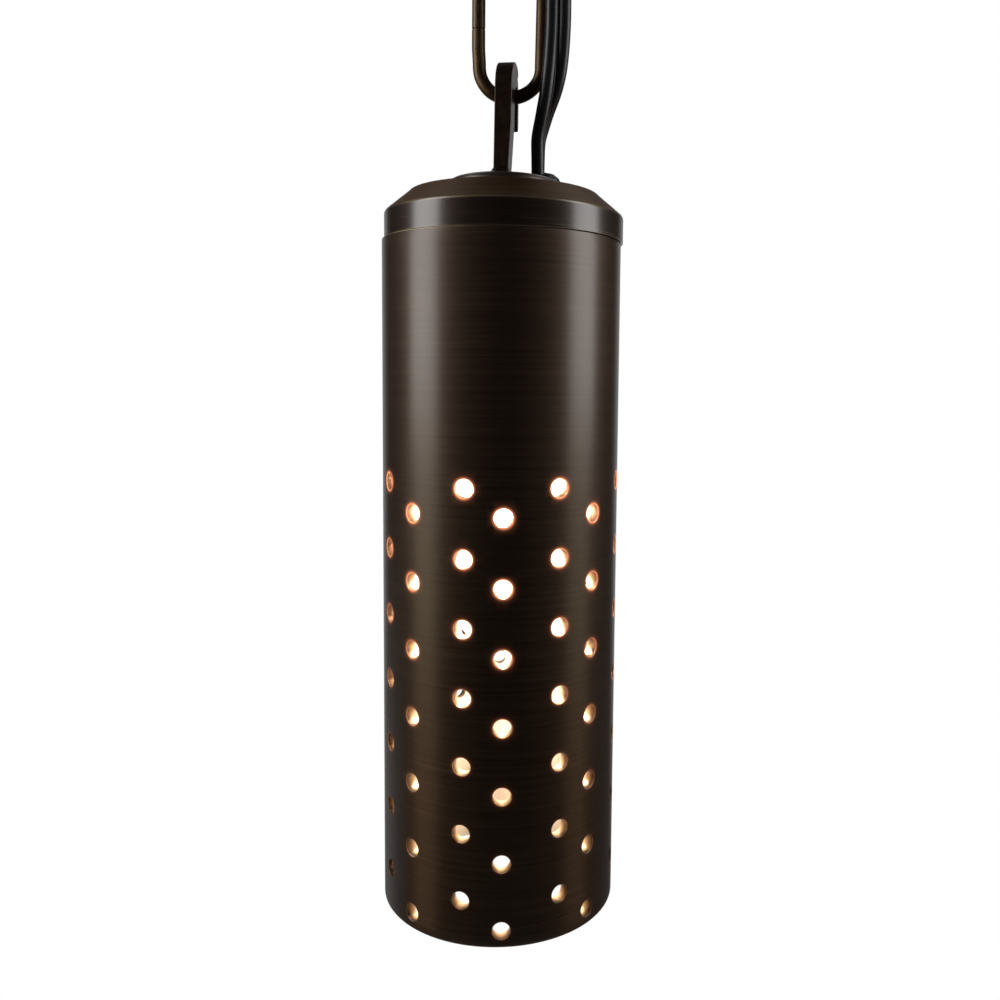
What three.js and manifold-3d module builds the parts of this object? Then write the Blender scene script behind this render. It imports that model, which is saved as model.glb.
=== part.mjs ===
// Pendant light: a perforated tube shade under a turned cap, hung by a hook and one chain link
// from a ceiling plate, with a flat two-core cord. Millimetres, +Z up.
// Heights in this file are measured from the shade's lower rim. The whole lamp is then lowered
// so that the origin is the centre of the ceiling plate's top face.
import * as THREE from 'three';
import { mergeVertices } from 'three/addons/utils/BufferGeometryUtils.js';
import Module from 'manifold-3d';

const wasm = await Module();
wasm.setup();

// Clearance between pieces that touch
const GAP = 0.3;

// Shade: 2 1/2 inch brass tube. Each column of holes is [angle of its lowest hole, lean to its
// highest], in degrees from the viewer's side towards +X.
const SHADE_X = -2.0;
const SHADE_RADIUS = 31.75;
const SHADE_WALL = 3.0;
const SHADE_LENGTH = 178;
const SHADE_EDGE = 0.4;
const SHADE_SEGMENTS = 36;
const HOLE_RADIUS = 2.275;
const HOLE_ROWS = 7;
const HIGH_ROW_Z = 11.71;
const HIGH_ROW_PITCH = 17.34;
const HIGH_COLUMNS = [
  [-64.5, 0], [-17.5, 1.2], [29.4, -2.2], [75.5, 0],
  [119, 0], [162, 0], [205.4, 0], [250, 0],
];
const LOW_ROW_Z = 4.39;
const LOW_ROW_PITCH = 17.39;
const LOW_COLUMNS = [
  [-88.7, 0], [-44.7, 1.2], [1.4, 0], [46.8, 0.7],
  [91, 0], [135, 0], [180.7, 0], [226.3, 0],
];

// Cap: turned from solid bar, hollow below
const CAP_X = -1.42;
const CAP_SEGMENTS = 48;
const BAND_PROUD = 0.05;
const BAND_RADIUS = SHADE_RADIUS + BAND_PROUD;
const BAND_HEIGHT = 7.15;
const BAND_Z = SHADE_LENGTH + GAP;
const BAND_TOP = BAND_Z + BAND_HEIGHT;
const CAP_EDGE = 0.35;
const CONE_RADIUS = 25.1;
const CONE_HEIGHT = 5.45;
const CONE_TOP = BAND_TOP + CONE_HEIGHT;
const BOSS_RADIUS = 15.2;
const BOSS_HEIGHT = 3.8;
const BOSS_TOP = CONE_TOP + BOSS_HEIGHT;
const BOSS_ROUND = 2.0;
const SPIGOT_RADIUS = SHADE_RADIUS - SHADE_WALL - 1.0;
const SPIGOT_LENGTH = 12.3;
const SPIGOT_Z = BAND_Z - SPIGOT_LENGTH;
const CHAMBER_RADIUS = 22;
const CHAMBER_DEPTH = 20;
const CHAMBER_TOP = SPIGOT_Z + CHAMBER_DEPTH;

// Grub screws that hold the shade on the spigot
const GRUB_Z = SHADE_LENGTH - 6;
const GRUB_RADIUS = 2.0;
const GRUB_LENGTH = 3.0;
const GRUB_KEY = 2.0;

// Hook: flat bar bent over, its plane turned a little about Z
const HOOK_X = -0.6;
const HOOK_TURN = THREE.MathUtils.degToRad(9);
const HOOK_THICKNESS = 4.4;
const HOOK_EDGE = 0.45;
const HOOK_GAP = 5.4;
const HOOK_NEAR = 6.2;
const HOOK_FAR = 3.4;
const HOOK_HEIGHT = 30.3;
const HOOK_CROWN = 5.8;
const HOOK_POINT = 16.9;
const HOOK_TOP = BOSS_TOP + HOOK_HEIGHT;
const HOOK_SLOT_TOP = HOOK_TOP - HOOK_CROWN;
const HOOK_TIP = HOOK_TOP - HOOK_POINT;
const STUD_RADIUS = 3.0;
const STUD_LENGTH = 8.4;
const STUD_END = CHAMBER_TOP - STUD_LENGTH;
const WASHER_RADIUS = 6.0;
const WASHER_THICKNESS = 1.2;
const NUT_HEIGHT = 5.0;
const NUT_ACROSS_FLATS = 10;

// Chain link: round wire, in the X-Z plane
const LINK_WIRE = 1.75;
const LINK_BOW = 8.5;
const LINK_SEAT = 2.63;
const LINK_BOTTOM = HOOK_SLOT_TOP - LINK_SEAT;
const LINK_LENGTH = 38;
const LINK_TOP = LINK_BOTTOM + LINK_LENGTH - 2 * LINK_WIRE;

// Ceiling eye, plate and what is in them
const EYE_WIRE = 2.0;
const EYE_RING = 8.0;
const EYE_BOTTOM = LINK_TOP - LINK_WIRE - GAP - EYE_WIRE;
const EYE_STEM = 2.2;
const EYE_SHANK = 18.98;
const EYE_COLLAR_RADIUS = 5.0;
const EYE_COLLAR_HEIGHT = 1.8;
const EYE_STUD_LENGTH = 4.4;
const PLATE_RADIUS = 38;
const PLATE_THICKNESS = 6;
const PLATE_Z = EYE_BOTTOM + 2 * EYE_RING + EYE_WIRE + EYE_SHANK;
const PLATE_TOP = PLATE_Z + PLATE_THICKNESS;
const PLATE_EDGE = 1.5;
const PLATE_SCREW_INSET = 10;
const PLATE_SCREW_X = PLATE_RADIUS - PLATE_SCREW_INSET;
const PLATE_SCREW_RADIUS = 2.0;
const PLATE_SCREW_HEAD = 4.2;
const GROMMET_BODY = 5.4;
const GROMMET_FLANGE = 7.0;

// Cord: two cores side by side, turning as it rises
const CORD_THICKNESS = 3.5;
const CORD_WIDTH = 6.8;
const CORD_CLEARANCE = 0.35;
const CORD_TAIL = 5;
const CORD_TAIL_BOTTOM = CHAMBER_TOP - CORD_TAIL;
const CORD_EXIT = 1.6;
const CORD_LOW_END = BOSS_TOP + CORD_EXIT;
const CORD_JOIN = 45.3;
const CORD_TOP_END = PLATE_Z - 2 * GAP;
// x, y, height above the cap's boss and the turn in degrees of the flat side from -Y towards -X
const aboveBoss = ([x, y, height, turn]) => [x, y, BOSS_TOP + height, turn];
const CORD_LOWER_ROUTE = [
  [7.55, 0.0, CORD_EXIT, 3],
  [7.53, 0.0, 4.3, 4],
  [7.52, -0.1, 7.3, 6],
  [7.62, -0.5, 10.9, 9],
  [8.45, -1.3, 14.7, 16],
  [9.3, -2.2, 18.0, 25],
  [10.4, -3.2, 22.0, 44],
  [11.0, -3.8, 24.9, 58],
  [11.55, -4.1, 28.5, 71],
  [11.95, -4.15, 33.0, 80],
  [12.2, -4.1, 37.8, 84],
  [12.3, -4.05, 41.8, 85],
  [12.3, -4.0, CORD_JOIN, 85],
].map(aboveBoss);
const CORD_UPPER_ROUTE = [
  [12.3, -4.0, CORD_JOIN + GAP, 85],
  [12.3, -3.95, 49.3, 85],
  [12.4, -3.9, 55.3, 86],
  [12.6, -3.75, 62.3, 87],
  [12.85, -3.55, 69.3, 88],
  [13.05, -3.35, 76.3, 89],
  [13.2, -3.2, 82.8, 90],
  [13.2, -3.2, CORD_TOP_END - BOSS_TOP, 90],
].map(aboveBoss);

// Sealant: half its length, width and height, and its middle
const SEAL_SIZE = [5.7, 6.0, 2.9];
const SEAL_AT = [CORD_LOWER_ROUTE[0][0] + 0.75, 0, BOSS_TOP - 0.3];

// Lamp holder and lamp, hung in the shade on a strap from the cap
const STRAP_WIDTH = 10;
const STRAP_THICKNESS = 1.2;
const STRAP_BACK = 15.2;
const STRAP_FRONT = -8.0;
const STRAP_SCREW_Y = 9.5;
const STRAP_DROP = 46;
const SOCKET_RADIUS = 8.5;
const SOCKET_HEIGHT = 12.5;
const SOCKET_TOP = CHAMBER_TOP - STRAP_DROP;
const SOCKET_Z = SOCKET_TOP - SOCKET_HEIGHT;
const SOCKET_SCREW_Y = 5.0;
const PIN_SPACING = 4.0;
const PIN_RADIUS = 0.5;
const GLASS_RADIUS = 4.75;
const GLASS_WALL = 0.7;
const GLASS_LENGTH = 25.9;
const BASE_HEIGHT = 7.0;
const GLASS_RIM = SOCKET_Z - 2 * GAP - BASE_HEIGHT;
const GLASS_BOTTOM = GLASS_RIM - GLASS_LENGTH;
const FILAMENT_Z = GLASS_BOTTOM + 2 * GLASS_RADIUS;
const SPLICE_RADIUS = 2.3;
const SPLICE_LENGTH = 14;
const SPLICE_DROP = 12;
const SPLICE_TOP = CHAMBER_TOP - SPLICE_DROP;
const SPLICE_BOTTOM = SPLICE_TOP - SPLICE_LENGTH;
const SPLICE_X = 8.6;
const SPLICE_Y = 4.2;
const LEAD_X = 6.5;
const LEAD_RADIUS = 0.9;
const LEAD_STRAIGHT = 2.5;
const LEAD_BOW = 5.0;
const CORE_RADIUS = 1.1;

const bronze = () => new THREE.MeshStandardMaterial({ color: 0x2c1f18, roughness: 0.42, metalness: 0.9 });
const steel = () => new THREE.MeshStandardMaterial({ color: 0x8d8a86, roughness: 0.38, metalness: 1.0 });
const rubber = () => new THREE.MeshStandardMaterial({ color: 0x0d0c0c, roughness: 0.6, metalness: 0.0 });
const cordCover = () => new THREE.MeshStandardMaterial({ color: 0x0b0a0e, roughness: 0.3, metalness: 0.0 });
const wireCover = () => new THREE.MeshStandardMaterial({ color: 0x16130f, roughness: 0.45, metalness: 0.0 });
const ceramic = () => new THREE.MeshStandardMaterial({ color: 0xe9e3d6, roughness: 0.5, metalness: 0.0 });
const glass = () => new THREE.MeshStandardMaterial({ color: 0xfff1d8, roughness: 0.05, metalness: 0.0 });
const filament = () => new THREE.MeshStandardMaterial({ color: 0xffc073, roughness: 0.4, metalness: 0.3 });

// Merges shared points, drops collapsed triangles and turns the faces outwards
function closed(geometry) {
  const bare = geometry.clone();
  bare.deleteAttribute('normal');
  bare.deleteAttribute('uv');
  const merged = mergeVertices(bare, 1e-4);
  const position = merged.getAttribute('position');
  const index = merged.getIndex().array;
  const kept = [];
  let volume = 0;
  const a = new THREE.Vector3();
  const b = new THREE.Vector3();
  const c = new THREE.Vector3();
  for (let i = 0; i < index.length; i += 3) {
    const [p, q, r] = [index[i], index[i + 1], index[i + 2]];
    if (p === q || q === r || p === r) continue;
    kept.push(p, q, r);
    a.fromBufferAttribute(position, p);
    b.fromBufferAttribute(position, q);
    c.fromBufferAttribute(position, r);
    volume += a.dot(b.cross(c));
  }
  if (volume < 0) {
    for (let i = 0; i < kept.length; i += 3) [kept[i + 1], kept[i + 2]] = [kept[i + 2], kept[i + 1]];
  }
  merged.setIndex(kept);
  return merged;
}

function solid(geometry) {
  const g = closed(geometry);
  return new wasm.Manifold(new wasm.Mesh({
    numProp: 3,
    vertProperties: new Float32Array(g.getAttribute('position').array),
    triVerts: new Uint32Array(g.getIndex().array),
  }));
}

function shell(manifold) {
  const mesh = manifold.getMesh();
  const g = new THREE.BufferGeometry();
  g.setAttribute('position', new THREE.BufferAttribute(new Float32Array(mesh.vertProperties), 3));
  g.setIndex(new THREE.BufferAttribute(new Uint32Array(mesh.triVerts), 1));
  return g;
}

function lathe(profile, segments) {
  const points = profile.map(([r, z]) => new THREE.Vector2(r, z));
  return new THREE.LatheGeometry(points, segments).rotateX(Math.PI / 2);
}

// Upright cylinder between two heights
function rod(x, y, radius, z0, z1, segments = 20) {
  return new THREE.CylinderGeometry(radius, radius, z1 - z0, segments)
    .rotateX(Math.PI / 2)
    .translate(x, y, (z0 + z1) / 2);
}

// Flat ring between two heights
// Section of the two-core cord, its width along x
function cordSection(extra = 0) {
  const radius = CORD_THICKNESS / 2 + extra;
  const reach = (CORD_WIDTH - CORD_THICKNESS) / 2;
  const shape = new THREE.Shape();
  for (let i = 0; i < 12; i += 1) {
    const angle = THREE.MathUtils.degToRad(-75 + 30 * i);
    const x = Math.sign(Math.cos(angle)) * reach + radius * Math.cos(angle) / Math.cos(Math.PI / 12);
    const y = radius * Math.sin(angle) / Math.sin(THREE.MathUtils.degToRad(75));
    if (i === 0) shape.moveTo(x, y);
    else shape.lineTo(x, y);
  }
  shape.closePath();
  return shape;
}

// Straight upright piece of the cord, or the slot for it
function straightCord(x, y, turn, z0, z1, extra = 0) {
  const angle = -Math.PI / 2 - THREE.MathUtils.degToRad(turn);
  return new THREE.ExtrudeGeometry(cordSection(extra), { depth: z1 - z0, steps: 1, bevelEnabled: false })
    .rotateZ(angle)
    .translate(x, y, z0);
}

// The cord's section drawn along a route, with the flat side turned as the route says
function routedCord(route, steps) {
  const places = route.map(([x, y, z]) => new THREE.Vector3(x, y, z));
  const turnings = route.map(([, , z, turn]) => new THREE.Vector3(turn, 0, z));
  const line = new THREE.CatmullRomCurve3(places, false, 'centripetal');
  const turns = new THREE.CatmullRomCurve3(turnings, false, 'centripetal');
  const geometry = new THREE.ExtrudeGeometry(cordSection(), { depth: 1, steps, bevelEnabled: false });
  const position = geometry.getAttribute('position');
  for (let i = 0; i < position.count; i += 1) {
    const t = Math.min(1, Math.max(0, position.getZ(i)));
    const centre = line.getPoint(t);
    const along = t === 0 || t === 1 ? new THREE.Vector3(0, 0, 1) : line.getTangent(t);
    const turn = THREE.MathUtils.degToRad(turns.getPoint(t).x);
    const wide = new THREE.Vector3(-Math.sin(turn), -Math.cos(turn), 0);
    wide.addScaledVector(along, -wide.dot(along)).normalize();
    const thick = along.clone().cross(wide);
    centre.addScaledVector(wide, position.getX(i)).addScaledVector(thick, position.getY(i));
    position.setXYZ(i, centre.x, centre.y, centre.z);
  }
  return geometry;
}

// Round wire along points
function wire(points, radius, steps) {
  const places = points.map((p) => new THREE.Vector3(...p));
  const path = new THREE.CatmullRomCurve3(places, false, 'centripetal');
  const section = new THREE.Shape();
  for (let i = 0; i < 8; i += 1) {
    const angle = i * Math.PI / 4;
    if (i === 0) section.moveTo(radius, 0);
    else section.lineTo(radius * Math.cos(angle), radius * Math.sin(angle));
  }
  section.closePath();
  return new THREE.ExtrudeGeometry(section, { steps, extrudePath: path });
}

// Lead wire from the holder's left or right to the front or back splice, bowed out on its way
function leadWire(side, splice, bow, steps) {
  const start = new THREE.Vector3(CAP_X + side * LEAD_X, 0, SOCKET_TOP + GAP);
  const end = new THREE.Vector3(SPLICE_X, splice * SPLICE_Y, SPLICE_BOTTOM - GAP);
  const low = start.clone().setZ(start.z + LEAD_STRAIGHT);
  const high = end.clone().setZ(end.z - LEAD_STRAIGHT);
  const points = [start.toArray(), low.toArray()];
  for (const share of [0.3, 0.5, 0.7]) {
    const across = THREE.MathUtils.smoothstep(share, 0.1, 0.9);
    const point = low.clone().lerp(high, across).setZ(THREE.MathUtils.lerp(low.z, high.z, share));
    points.push([point.x, point.y + bow * Math.sin(Math.PI * share), point.z]);
  }
  return wire([...points, high.toArray(), end.toArray()], LEAD_RADIUS, steps);
}

function shadeGeometry() {
  const outer = SHADE_RADIUS;
  const inner = SHADE_RADIUS - SHADE_WALL;
  const profile = [
    [inner, 0],
    [outer - SHADE_EDGE, 0],
    [outer, SHADE_EDGE],
    [outer, SHADE_LENGTH - SHADE_EDGE],
    [outer - SHADE_EDGE, SHADE_LENGTH],
    [inner, SHADE_LENGTH],
    [inner, 0],
  ];
  let tube = solid(lathe(profile, SHADE_SEGMENTS));
  const drill = (angle, z, radius, sides) => {
    const bit = new THREE.CylinderGeometry(radius, radius, SHADE_WALL + 4, sides)
      .translate(0, -(SHADE_RADIUS - SHADE_WALL / 2), 0)
      .rotateZ(THREE.MathUtils.degToRad(angle))
      .translate(0, 0, z);
    tube = tube.subtract(solid(bit));
  };
  for (let row = 0; row < HOLE_ROWS; row += 1) {
    const up = row / (HOLE_ROWS - 1);
    for (const [angle, lean] of HIGH_COLUMNS) {
      drill(angle + lean * up, HIGH_ROW_Z + row * HIGH_ROW_PITCH, HOLE_RADIUS, 8);
    }
    for (const [angle, lean] of LOW_COLUMNS) {
      drill(angle + lean * up, LOW_ROW_Z + row * LOW_ROW_PITCH, HOLE_RADIUS, 8);
    }
  }
  drill(90, GRUB_Z, GRUB_RADIUS + GAP, 12);
  drill(-90, GRUB_Z, GRUB_RADIUS + GAP, 12);
  return shell(tube).translate(SHADE_X, 0, 0);
}

// Grub screw with a hexagon socket, its point towards the cap's spigot
function grubGeometry(side) {
  const point = CAP_X + side * (SPIGOT_RADIUS + GAP);
  const body = new THREE.CylinderGeometry(GRUB_RADIUS, GRUB_RADIUS, GRUB_LENGTH, 16).rotateZ(Math.PI / 2);
  const key = new THREE.CylinderGeometry(GRUB_KEY / Math.sqrt(3), GRUB_KEY / Math.sqrt(3), GRUB_LENGTH, 6)
    .rotateZ(Math.PI / 2)
    .translate(side * GRUB_LENGTH / 2, 0, 0);
  return shell(solid(body).subtract(solid(key))).translate(point + side * GRUB_LENGTH / 2, 0, GRUB_Z);
}

function capGeometry() {
  const profile = [
    [0, CHAMBER_TOP],
    [CHAMBER_RADIUS, CHAMBER_TOP],
    [CHAMBER_RADIUS, SPIGOT_Z],
    [SPIGOT_RADIUS - 0.5, SPIGOT_Z],
    [SPIGOT_RADIUS, SPIGOT_Z + 0.5],
    [SPIGOT_RADIUS, BAND_Z],
    [BAND_RADIUS - CAP_EDGE, BAND_Z],
    [BAND_RADIUS, BAND_Z + CAP_EDGE],
    [BAND_RADIUS, BAND_TOP - CAP_EDGE],
    [BAND_RADIUS - CAP_EDGE, BAND_TOP],
    [CONE_RADIUS, CONE_TOP],
    [BOSS_RADIUS, CONE_TOP],
  ];
  for (let i = 0; i <= 3; i += 1) {
    const angle = i * Math.PI / 6;
    profile.push([
      BOSS_RADIUS - BOSS_ROUND + BOSS_ROUND * Math.cos(angle),
      BOSS_TOP - BOSS_ROUND + BOSS_ROUND * Math.sin(angle),
    ]);
  }
  profile.push([0, BOSS_TOP]);
  const cap = solid(lathe(profile, CAP_SEGMENTS).translate(CAP_X, 0, 0));
  const stud = solid(rod(studAt.x, studAt.y, STUD_RADIUS + GAP, CHAMBER_TOP - 2, BOSS_TOP + 2, 20));
  const [x, y, , turn] = CORD_LOWER_ROUTE[0];
  const cord = solid(straightCord(x, y, turn, CHAMBER_TOP - 2, BOSS_TOP + 2, CORD_CLEARANCE));
  const screw = solid(rod(CAP_X, STRAP_SCREW_Y, 1.8, CHAMBER_TOP - 2, CHAMBER_TOP + 3.2, 16));
  return shell(cap.subtract(stud).subtract(cord).subtract(screw));
}

const hookAlong = new THREE.Vector3(Math.sin(HOOK_TURN), Math.cos(HOOK_TURN), 0);
const hookAcross = new THREE.Vector3(Math.cos(HOOK_TURN), -Math.sin(HOOK_TURN), 0);
const nearLeg = -(HOOK_GAP + HOOK_NEAR) / 2;
const studAt = new THREE.Vector3(HOOK_X, 0, 0).addScaledVector(hookAlong, nearLeg);

function hookGeometry() {
  const half = HOOK_GAP / 2;
  const front = -half - HOOK_NEAR;
  const back = half + HOOK_FAR;
  const outer = (back - front) / 2;
  const middle = (back + front) / 2;
  const outline = new THREE.Shape();
  outline.moveTo(front, BOSS_TOP + GAP);
  outline.lineTo(-half, BOSS_TOP + GAP);
  outline.lineTo(-half, HOOK_SLOT_TOP - half);
  for (let i = 1; i <= 8; i += 1) {
    const angle = Math.PI * (1 - i / 8);
    outline.lineTo(half * Math.cos(angle), HOOK_SLOT_TOP - half + half * Math.sin(angle));
  }
  outline.lineTo(half + 0.15, HOOK_TIP + 1.2);
  outline.lineTo(half + 0.6, HOOK_TIP + 0.2);
  outline.lineTo(half + 1.1, HOOK_TIP);
  outline.lineTo(half + 1.7, HOOK_TIP + 0.4);
  outline.lineTo(half + 2.1, HOOK_TIP + 1.6);
  outline.lineTo(half + 2.9, HOOK_TIP + 5.0);
  outline.lineTo(back, HOOK_TOP - outer - 0.6);
  for (let i = 0; i <= 12; i += 1) {
    const angle = Math.PI * i / 12;
    outline.lineTo(middle + outer * Math.cos(angle), HOOK_TOP - outer + outer * Math.sin(angle));
  }
  outline.closePath();
  const flat = HOOK_THICKNESS - 2 * HOOK_EDGE;
  const bar = new THREE.ExtrudeGeometry(outline, {
    depth: flat,
    steps: 1,
    bevelEnabled: true,
    bevelThickness: HOOK_EDGE,
    bevelSize: HOOK_EDGE,
    bevelOffset: -HOOK_EDGE,
    bevelSegments: 1,
  }).translate(0, 0, -flat / 2);
  const turned = new THREE.Matrix4().makeBasis(hookAlong, new THREE.Vector3(0, 0, 1), hookAcross);
  bar.applyMatrix4(turned).translate(HOOK_X, 0, 0);
  const foot = lathe([[0, 0], [1, 0], [0.86, 0.35], [0.74, 0.9], [0.66, 1.7], [0, 1.7]], 24)
    .scale(3.35, 4.5, 1)
    .rotateZ(-HOOK_TURN)
    .translate(studAt.x, studAt.y, BOSS_TOP + GAP);
  const stud = rod(studAt.x, studAt.y, STUD_RADIUS, STUD_END, BOSS_TOP + GAP + 1.0, 20);
  return shell(solid(bar).add(solid(foot)).add(solid(stud)));
}

function washerGeometry() {
  const [inner, top] = [STUD_RADIUS + GAP, CHAMBER_TOP - GAP];
  const bottom = top - WASHER_THICKNESS;
  const profile = [
    [inner, bottom], [WASHER_RADIUS, bottom], [WASHER_RADIUS, top], [inner, top], [inner, bottom],
  ];
  return lathe(profile, 24).translate(studAt.x, studAt.y, 0);
}

function nutGeometry() {
  const top = CHAMBER_TOP - GAP - WASHER_THICKNESS - GAP;
  const body = rod(studAt.x, studAt.y, NUT_ACROSS_FLATS / Math.sqrt(3), top - NUT_HEIGHT, top, 6);
  const bore = rod(studAt.x, studAt.y, STUD_RADIUS + GAP, top - NUT_HEIGHT - 1, top + 1, 20);
  return shell(solid(body).subtract(solid(bore)));
}

// Sealant round the cord where it leaves the cap, spread over the boss's edge
function sealGeometry() {
  const bead = new THREE.SphereGeometry(1, 20, 12)
    .rotateX(Math.PI / 2)
    .scale(...SEAL_SIZE)
    .translate(...SEAL_AT);
  const profile = [[0, CONE_TOP - 3], [BOSS_RADIUS + GAP, CONE_TOP - 3]];
  for (let i = 0; i <= 4; i += 1) {
    const angle = i * Math.PI / 8;
    profile.push([
      BOSS_RADIUS - BOSS_ROUND + (BOSS_ROUND + GAP) * Math.cos(angle),
      BOSS_TOP - BOSS_ROUND + (BOSS_ROUND + GAP) * Math.sin(angle),
    ]);
  }
  profile.push([0, BOSS_TOP + GAP]);
  const boss = solid(lathe(profile, CAP_SEGMENTS).translate(CAP_X, 0, 0));
  const [x, y, , turn] = CORD_LOWER_ROUTE[0];
  const cord = solid(straightCord(x, y, turn, BOSS_TOP - 5, BOSS_TOP + 5, GAP));
  const below = solid(rod(CAP_X, 0, BAND_RADIUS, CONE_TOP - BOSS_RADIUS, CONE_TOP + GAP));
  return shell(solid(bead).subtract(boss).subtract(cord).subtract(below));
}

// Closed loop of round wire with two half-round bows and straight sides
function linkGeometry() {
  const straight = (LINK_TOP - LINK_BOTTOM) / 2 - LINK_BOW;
  const middle = (LINK_TOP + LINK_BOTTOM) / 2;
  const points = [];
  for (const side of [1, -1]) {
    for (let i = 0; i <= 12; i += 1) {
      const angle = Math.PI * i / 12;
      const [x, z] = [LINK_BOW * Math.cos(angle), straight + LINK_BOW * Math.sin(angle)];
      points.push(new THREE.Vector3(side * x, 0, middle + side * z));
    }
    points.push(new THREE.Vector3(-side * LINK_BOW, 0, middle));
  }
  const path = new THREE.CatmullRomCurve3(points, true, 'centripetal');
  return closed(new THREE.TubeGeometry(path, 48, LINK_WIRE, 10, true));
}

function eyeGeometry() {
  const centre = EYE_BOTTOM + EYE_RING;
  const ring = new THREE.TorusGeometry(EYE_RING, EYE_WIRE, 10, 28)
    .rotateY(Math.PI / 2)
    .translate(0, 0, centre);
  const stem = rod(0, 0, EYE_STEM, centre + EYE_RING, PLATE_Z - GAP - 0.5, 16);
  const collar = rod(0, 0, EYE_COLLAR_RADIUS, PLATE_Z - GAP - EYE_COLLAR_HEIGHT, PLATE_Z - GAP, 24);
  const stud = rod(0, 0, STUD_RADIUS, PLATE_Z - GAP - 0.5, PLATE_Z + EYE_STUD_LENGTH, 20);
  return shell(solid(ring).add(solid(stem)).add(solid(collar)).add(solid(stud)));
}

function plateGeometry() {
  const profile = [
    [0, PLATE_Z],
    [PLATE_RADIUS - PLATE_EDGE, PLATE_Z],
    [PLATE_RADIUS - PLATE_EDGE * 0.3, PLATE_Z + PLATE_EDGE * 0.3],
    [PLATE_RADIUS, PLATE_Z + PLATE_EDGE],
    [PLATE_RADIUS, PLATE_TOP],
    [0, PLATE_TOP],
  ];
  const [x, y] = CORD_UPPER_ROUTE[CORD_UPPER_ROUTE.length - 1];
  let plate = solid(lathe(profile, 48));
  const studHoleTop = PLATE_Z + EYE_STUD_LENGTH + 0.4;
  plate = plate.subtract(solid(rod(0, 0, STUD_RADIUS + GAP, PLATE_Z - 2, studHoleTop, 20)));
  plate = plate.subtract(solid(rod(x, y, GROMMET_BODY + GAP, PLATE_Z - 2, PLATE_TOP + 2, 24)));
  for (const side of [-1, 1]) {
    const screwX = side * PLATE_SCREW_X;
    const screw = solid(rod(screwX, 0, PLATE_SCREW_RADIUS + GAP, PLATE_Z - 2, PLATE_TOP + 2, 20));
    const sink = new THREE.CylinderGeometry(PLATE_SCREW_RADIUS + GAP, PLATE_SCREW_HEAD + GAP, 2.6, 20)
      .rotateX(Math.PI / 2)
      .translate(screwX, 0, PLATE_Z + 1.3);
    plate = plate.subtract(screw).subtract(solid(sink));
  }
  return shell(plate);
}

// Countersunk screw with a cross slot, its head flush with the plate's lower face
function plateScrewGeometry(side) {
  const profile = [
    [0, PLATE_Z],
    [PLATE_SCREW_HEAD, PLATE_Z],
    [PLATE_SCREW_RADIUS, PLATE_Z + 2.6],
    [PLATE_SCREW_RADIUS, PLATE_TOP - GAP],
    [0, PLATE_TOP - GAP],
  ];
  let screw = solid(lathe(profile, 20));
  screw = screw.subtract(solid(new THREE.BoxGeometry(4.4, 1.0, 2.0).translate(0, 0, PLATE_Z)));
  screw = screw.subtract(solid(new THREE.BoxGeometry(1.0, 4.4, 2.0).translate(0, 0, PLATE_Z)));
  return shell(screw).translate(side * PLATE_SCREW_X, 0, 0);
}

function grommetGeometry() {
  const [x, y, , turn] = CORD_UPPER_ROUTE[CORD_UPPER_ROUTE.length - 1];
  const profile = [
    [0, PLATE_Z - GAP - 1.5],
    [GROMMET_FLANGE - 0.6, PLATE_Z - GAP - 1.5],
    [GROMMET_FLANGE, PLATE_Z - GAP - 0.9],
    [GROMMET_FLANGE, PLATE_Z - GAP],
    [GROMMET_BODY, PLATE_Z - GAP],
    [GROMMET_BODY, PLATE_TOP - 0.6],
    [0, PLATE_TOP - 0.6],
  ];
  const bush = solid(lathe(profile, 24).translate(x, y, 0));
  return shell(bush.subtract(solid(straightCord(x, y, turn, PLATE_Z - 5, PLATE_TOP + 2, GAP))));
}

function strapGeometry() {
  const top = CHAMBER_TOP - GAP;
  const low = SOCKET_TOP + GAP;
  const outline = new THREE.Shape();
  outline.moveTo(5, top - STRAP_THICKNESS);
  outline.lineTo(STRAP_BACK - STRAP_THICKNESS, top - STRAP_THICKNESS);
  outline.lineTo(STRAP_BACK - STRAP_THICKNESS, low + STRAP_THICKNESS);
  outline.lineTo(STRAP_FRONT, low + STRAP_THICKNESS);
  outline.lineTo(STRAP_FRONT, low);
  outline.lineTo(STRAP_BACK, low);
  outline.lineTo(STRAP_BACK, top);
  outline.lineTo(5, top);
  outline.closePath();
  const sheet = new THREE.ExtrudeGeometry(outline, { depth: STRAP_WIDTH, steps: 1, bevelEnabled: false });
  const basis = new THREE.Matrix4().makeBasis(
    new THREE.Vector3(0, 1, 0),
    new THREE.Vector3(0, 0, 1),
    new THREE.Vector3(1, 0, 0),
  );
  sheet.applyMatrix4(basis).translate(CAP_X - STRAP_WIDTH / 2, 0, 0);
  let strap = solid(sheet);
  strap = strap.subtract(solid(rod(CAP_X, STRAP_SCREW_Y, 1.8, top - 3, top + 1, 16)));
  for (const side of [-1, 1]) {
    strap = strap.subtract(solid(rod(CAP_X, side * SOCKET_SCREW_Y, 1.55, low - 1, low + 3, 16)));
  }
  return shell(strap);
}

// Pan-head screw: head between z0 and z1, shank to z2
function screwGeometry(x, y, head, z0, z1, shank, z2) {
  const top = Math.max(z1, z2);
  const up = z2 > z1;
  const stem = rod(x, y, shank, up ? z1 - 0.2 : z2, up ? top : z0 + 0.2, 14);
  const joined = solid(rod(x, y, head, z0, z1, 18)).add(solid(stem));
  const slot = new THREE.BoxGeometry(2 * head + 1, 0.8, 1.4).translate(x, y, up ? z0 : z1);
  return shell(joined.subtract(solid(slot)));
}

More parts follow.
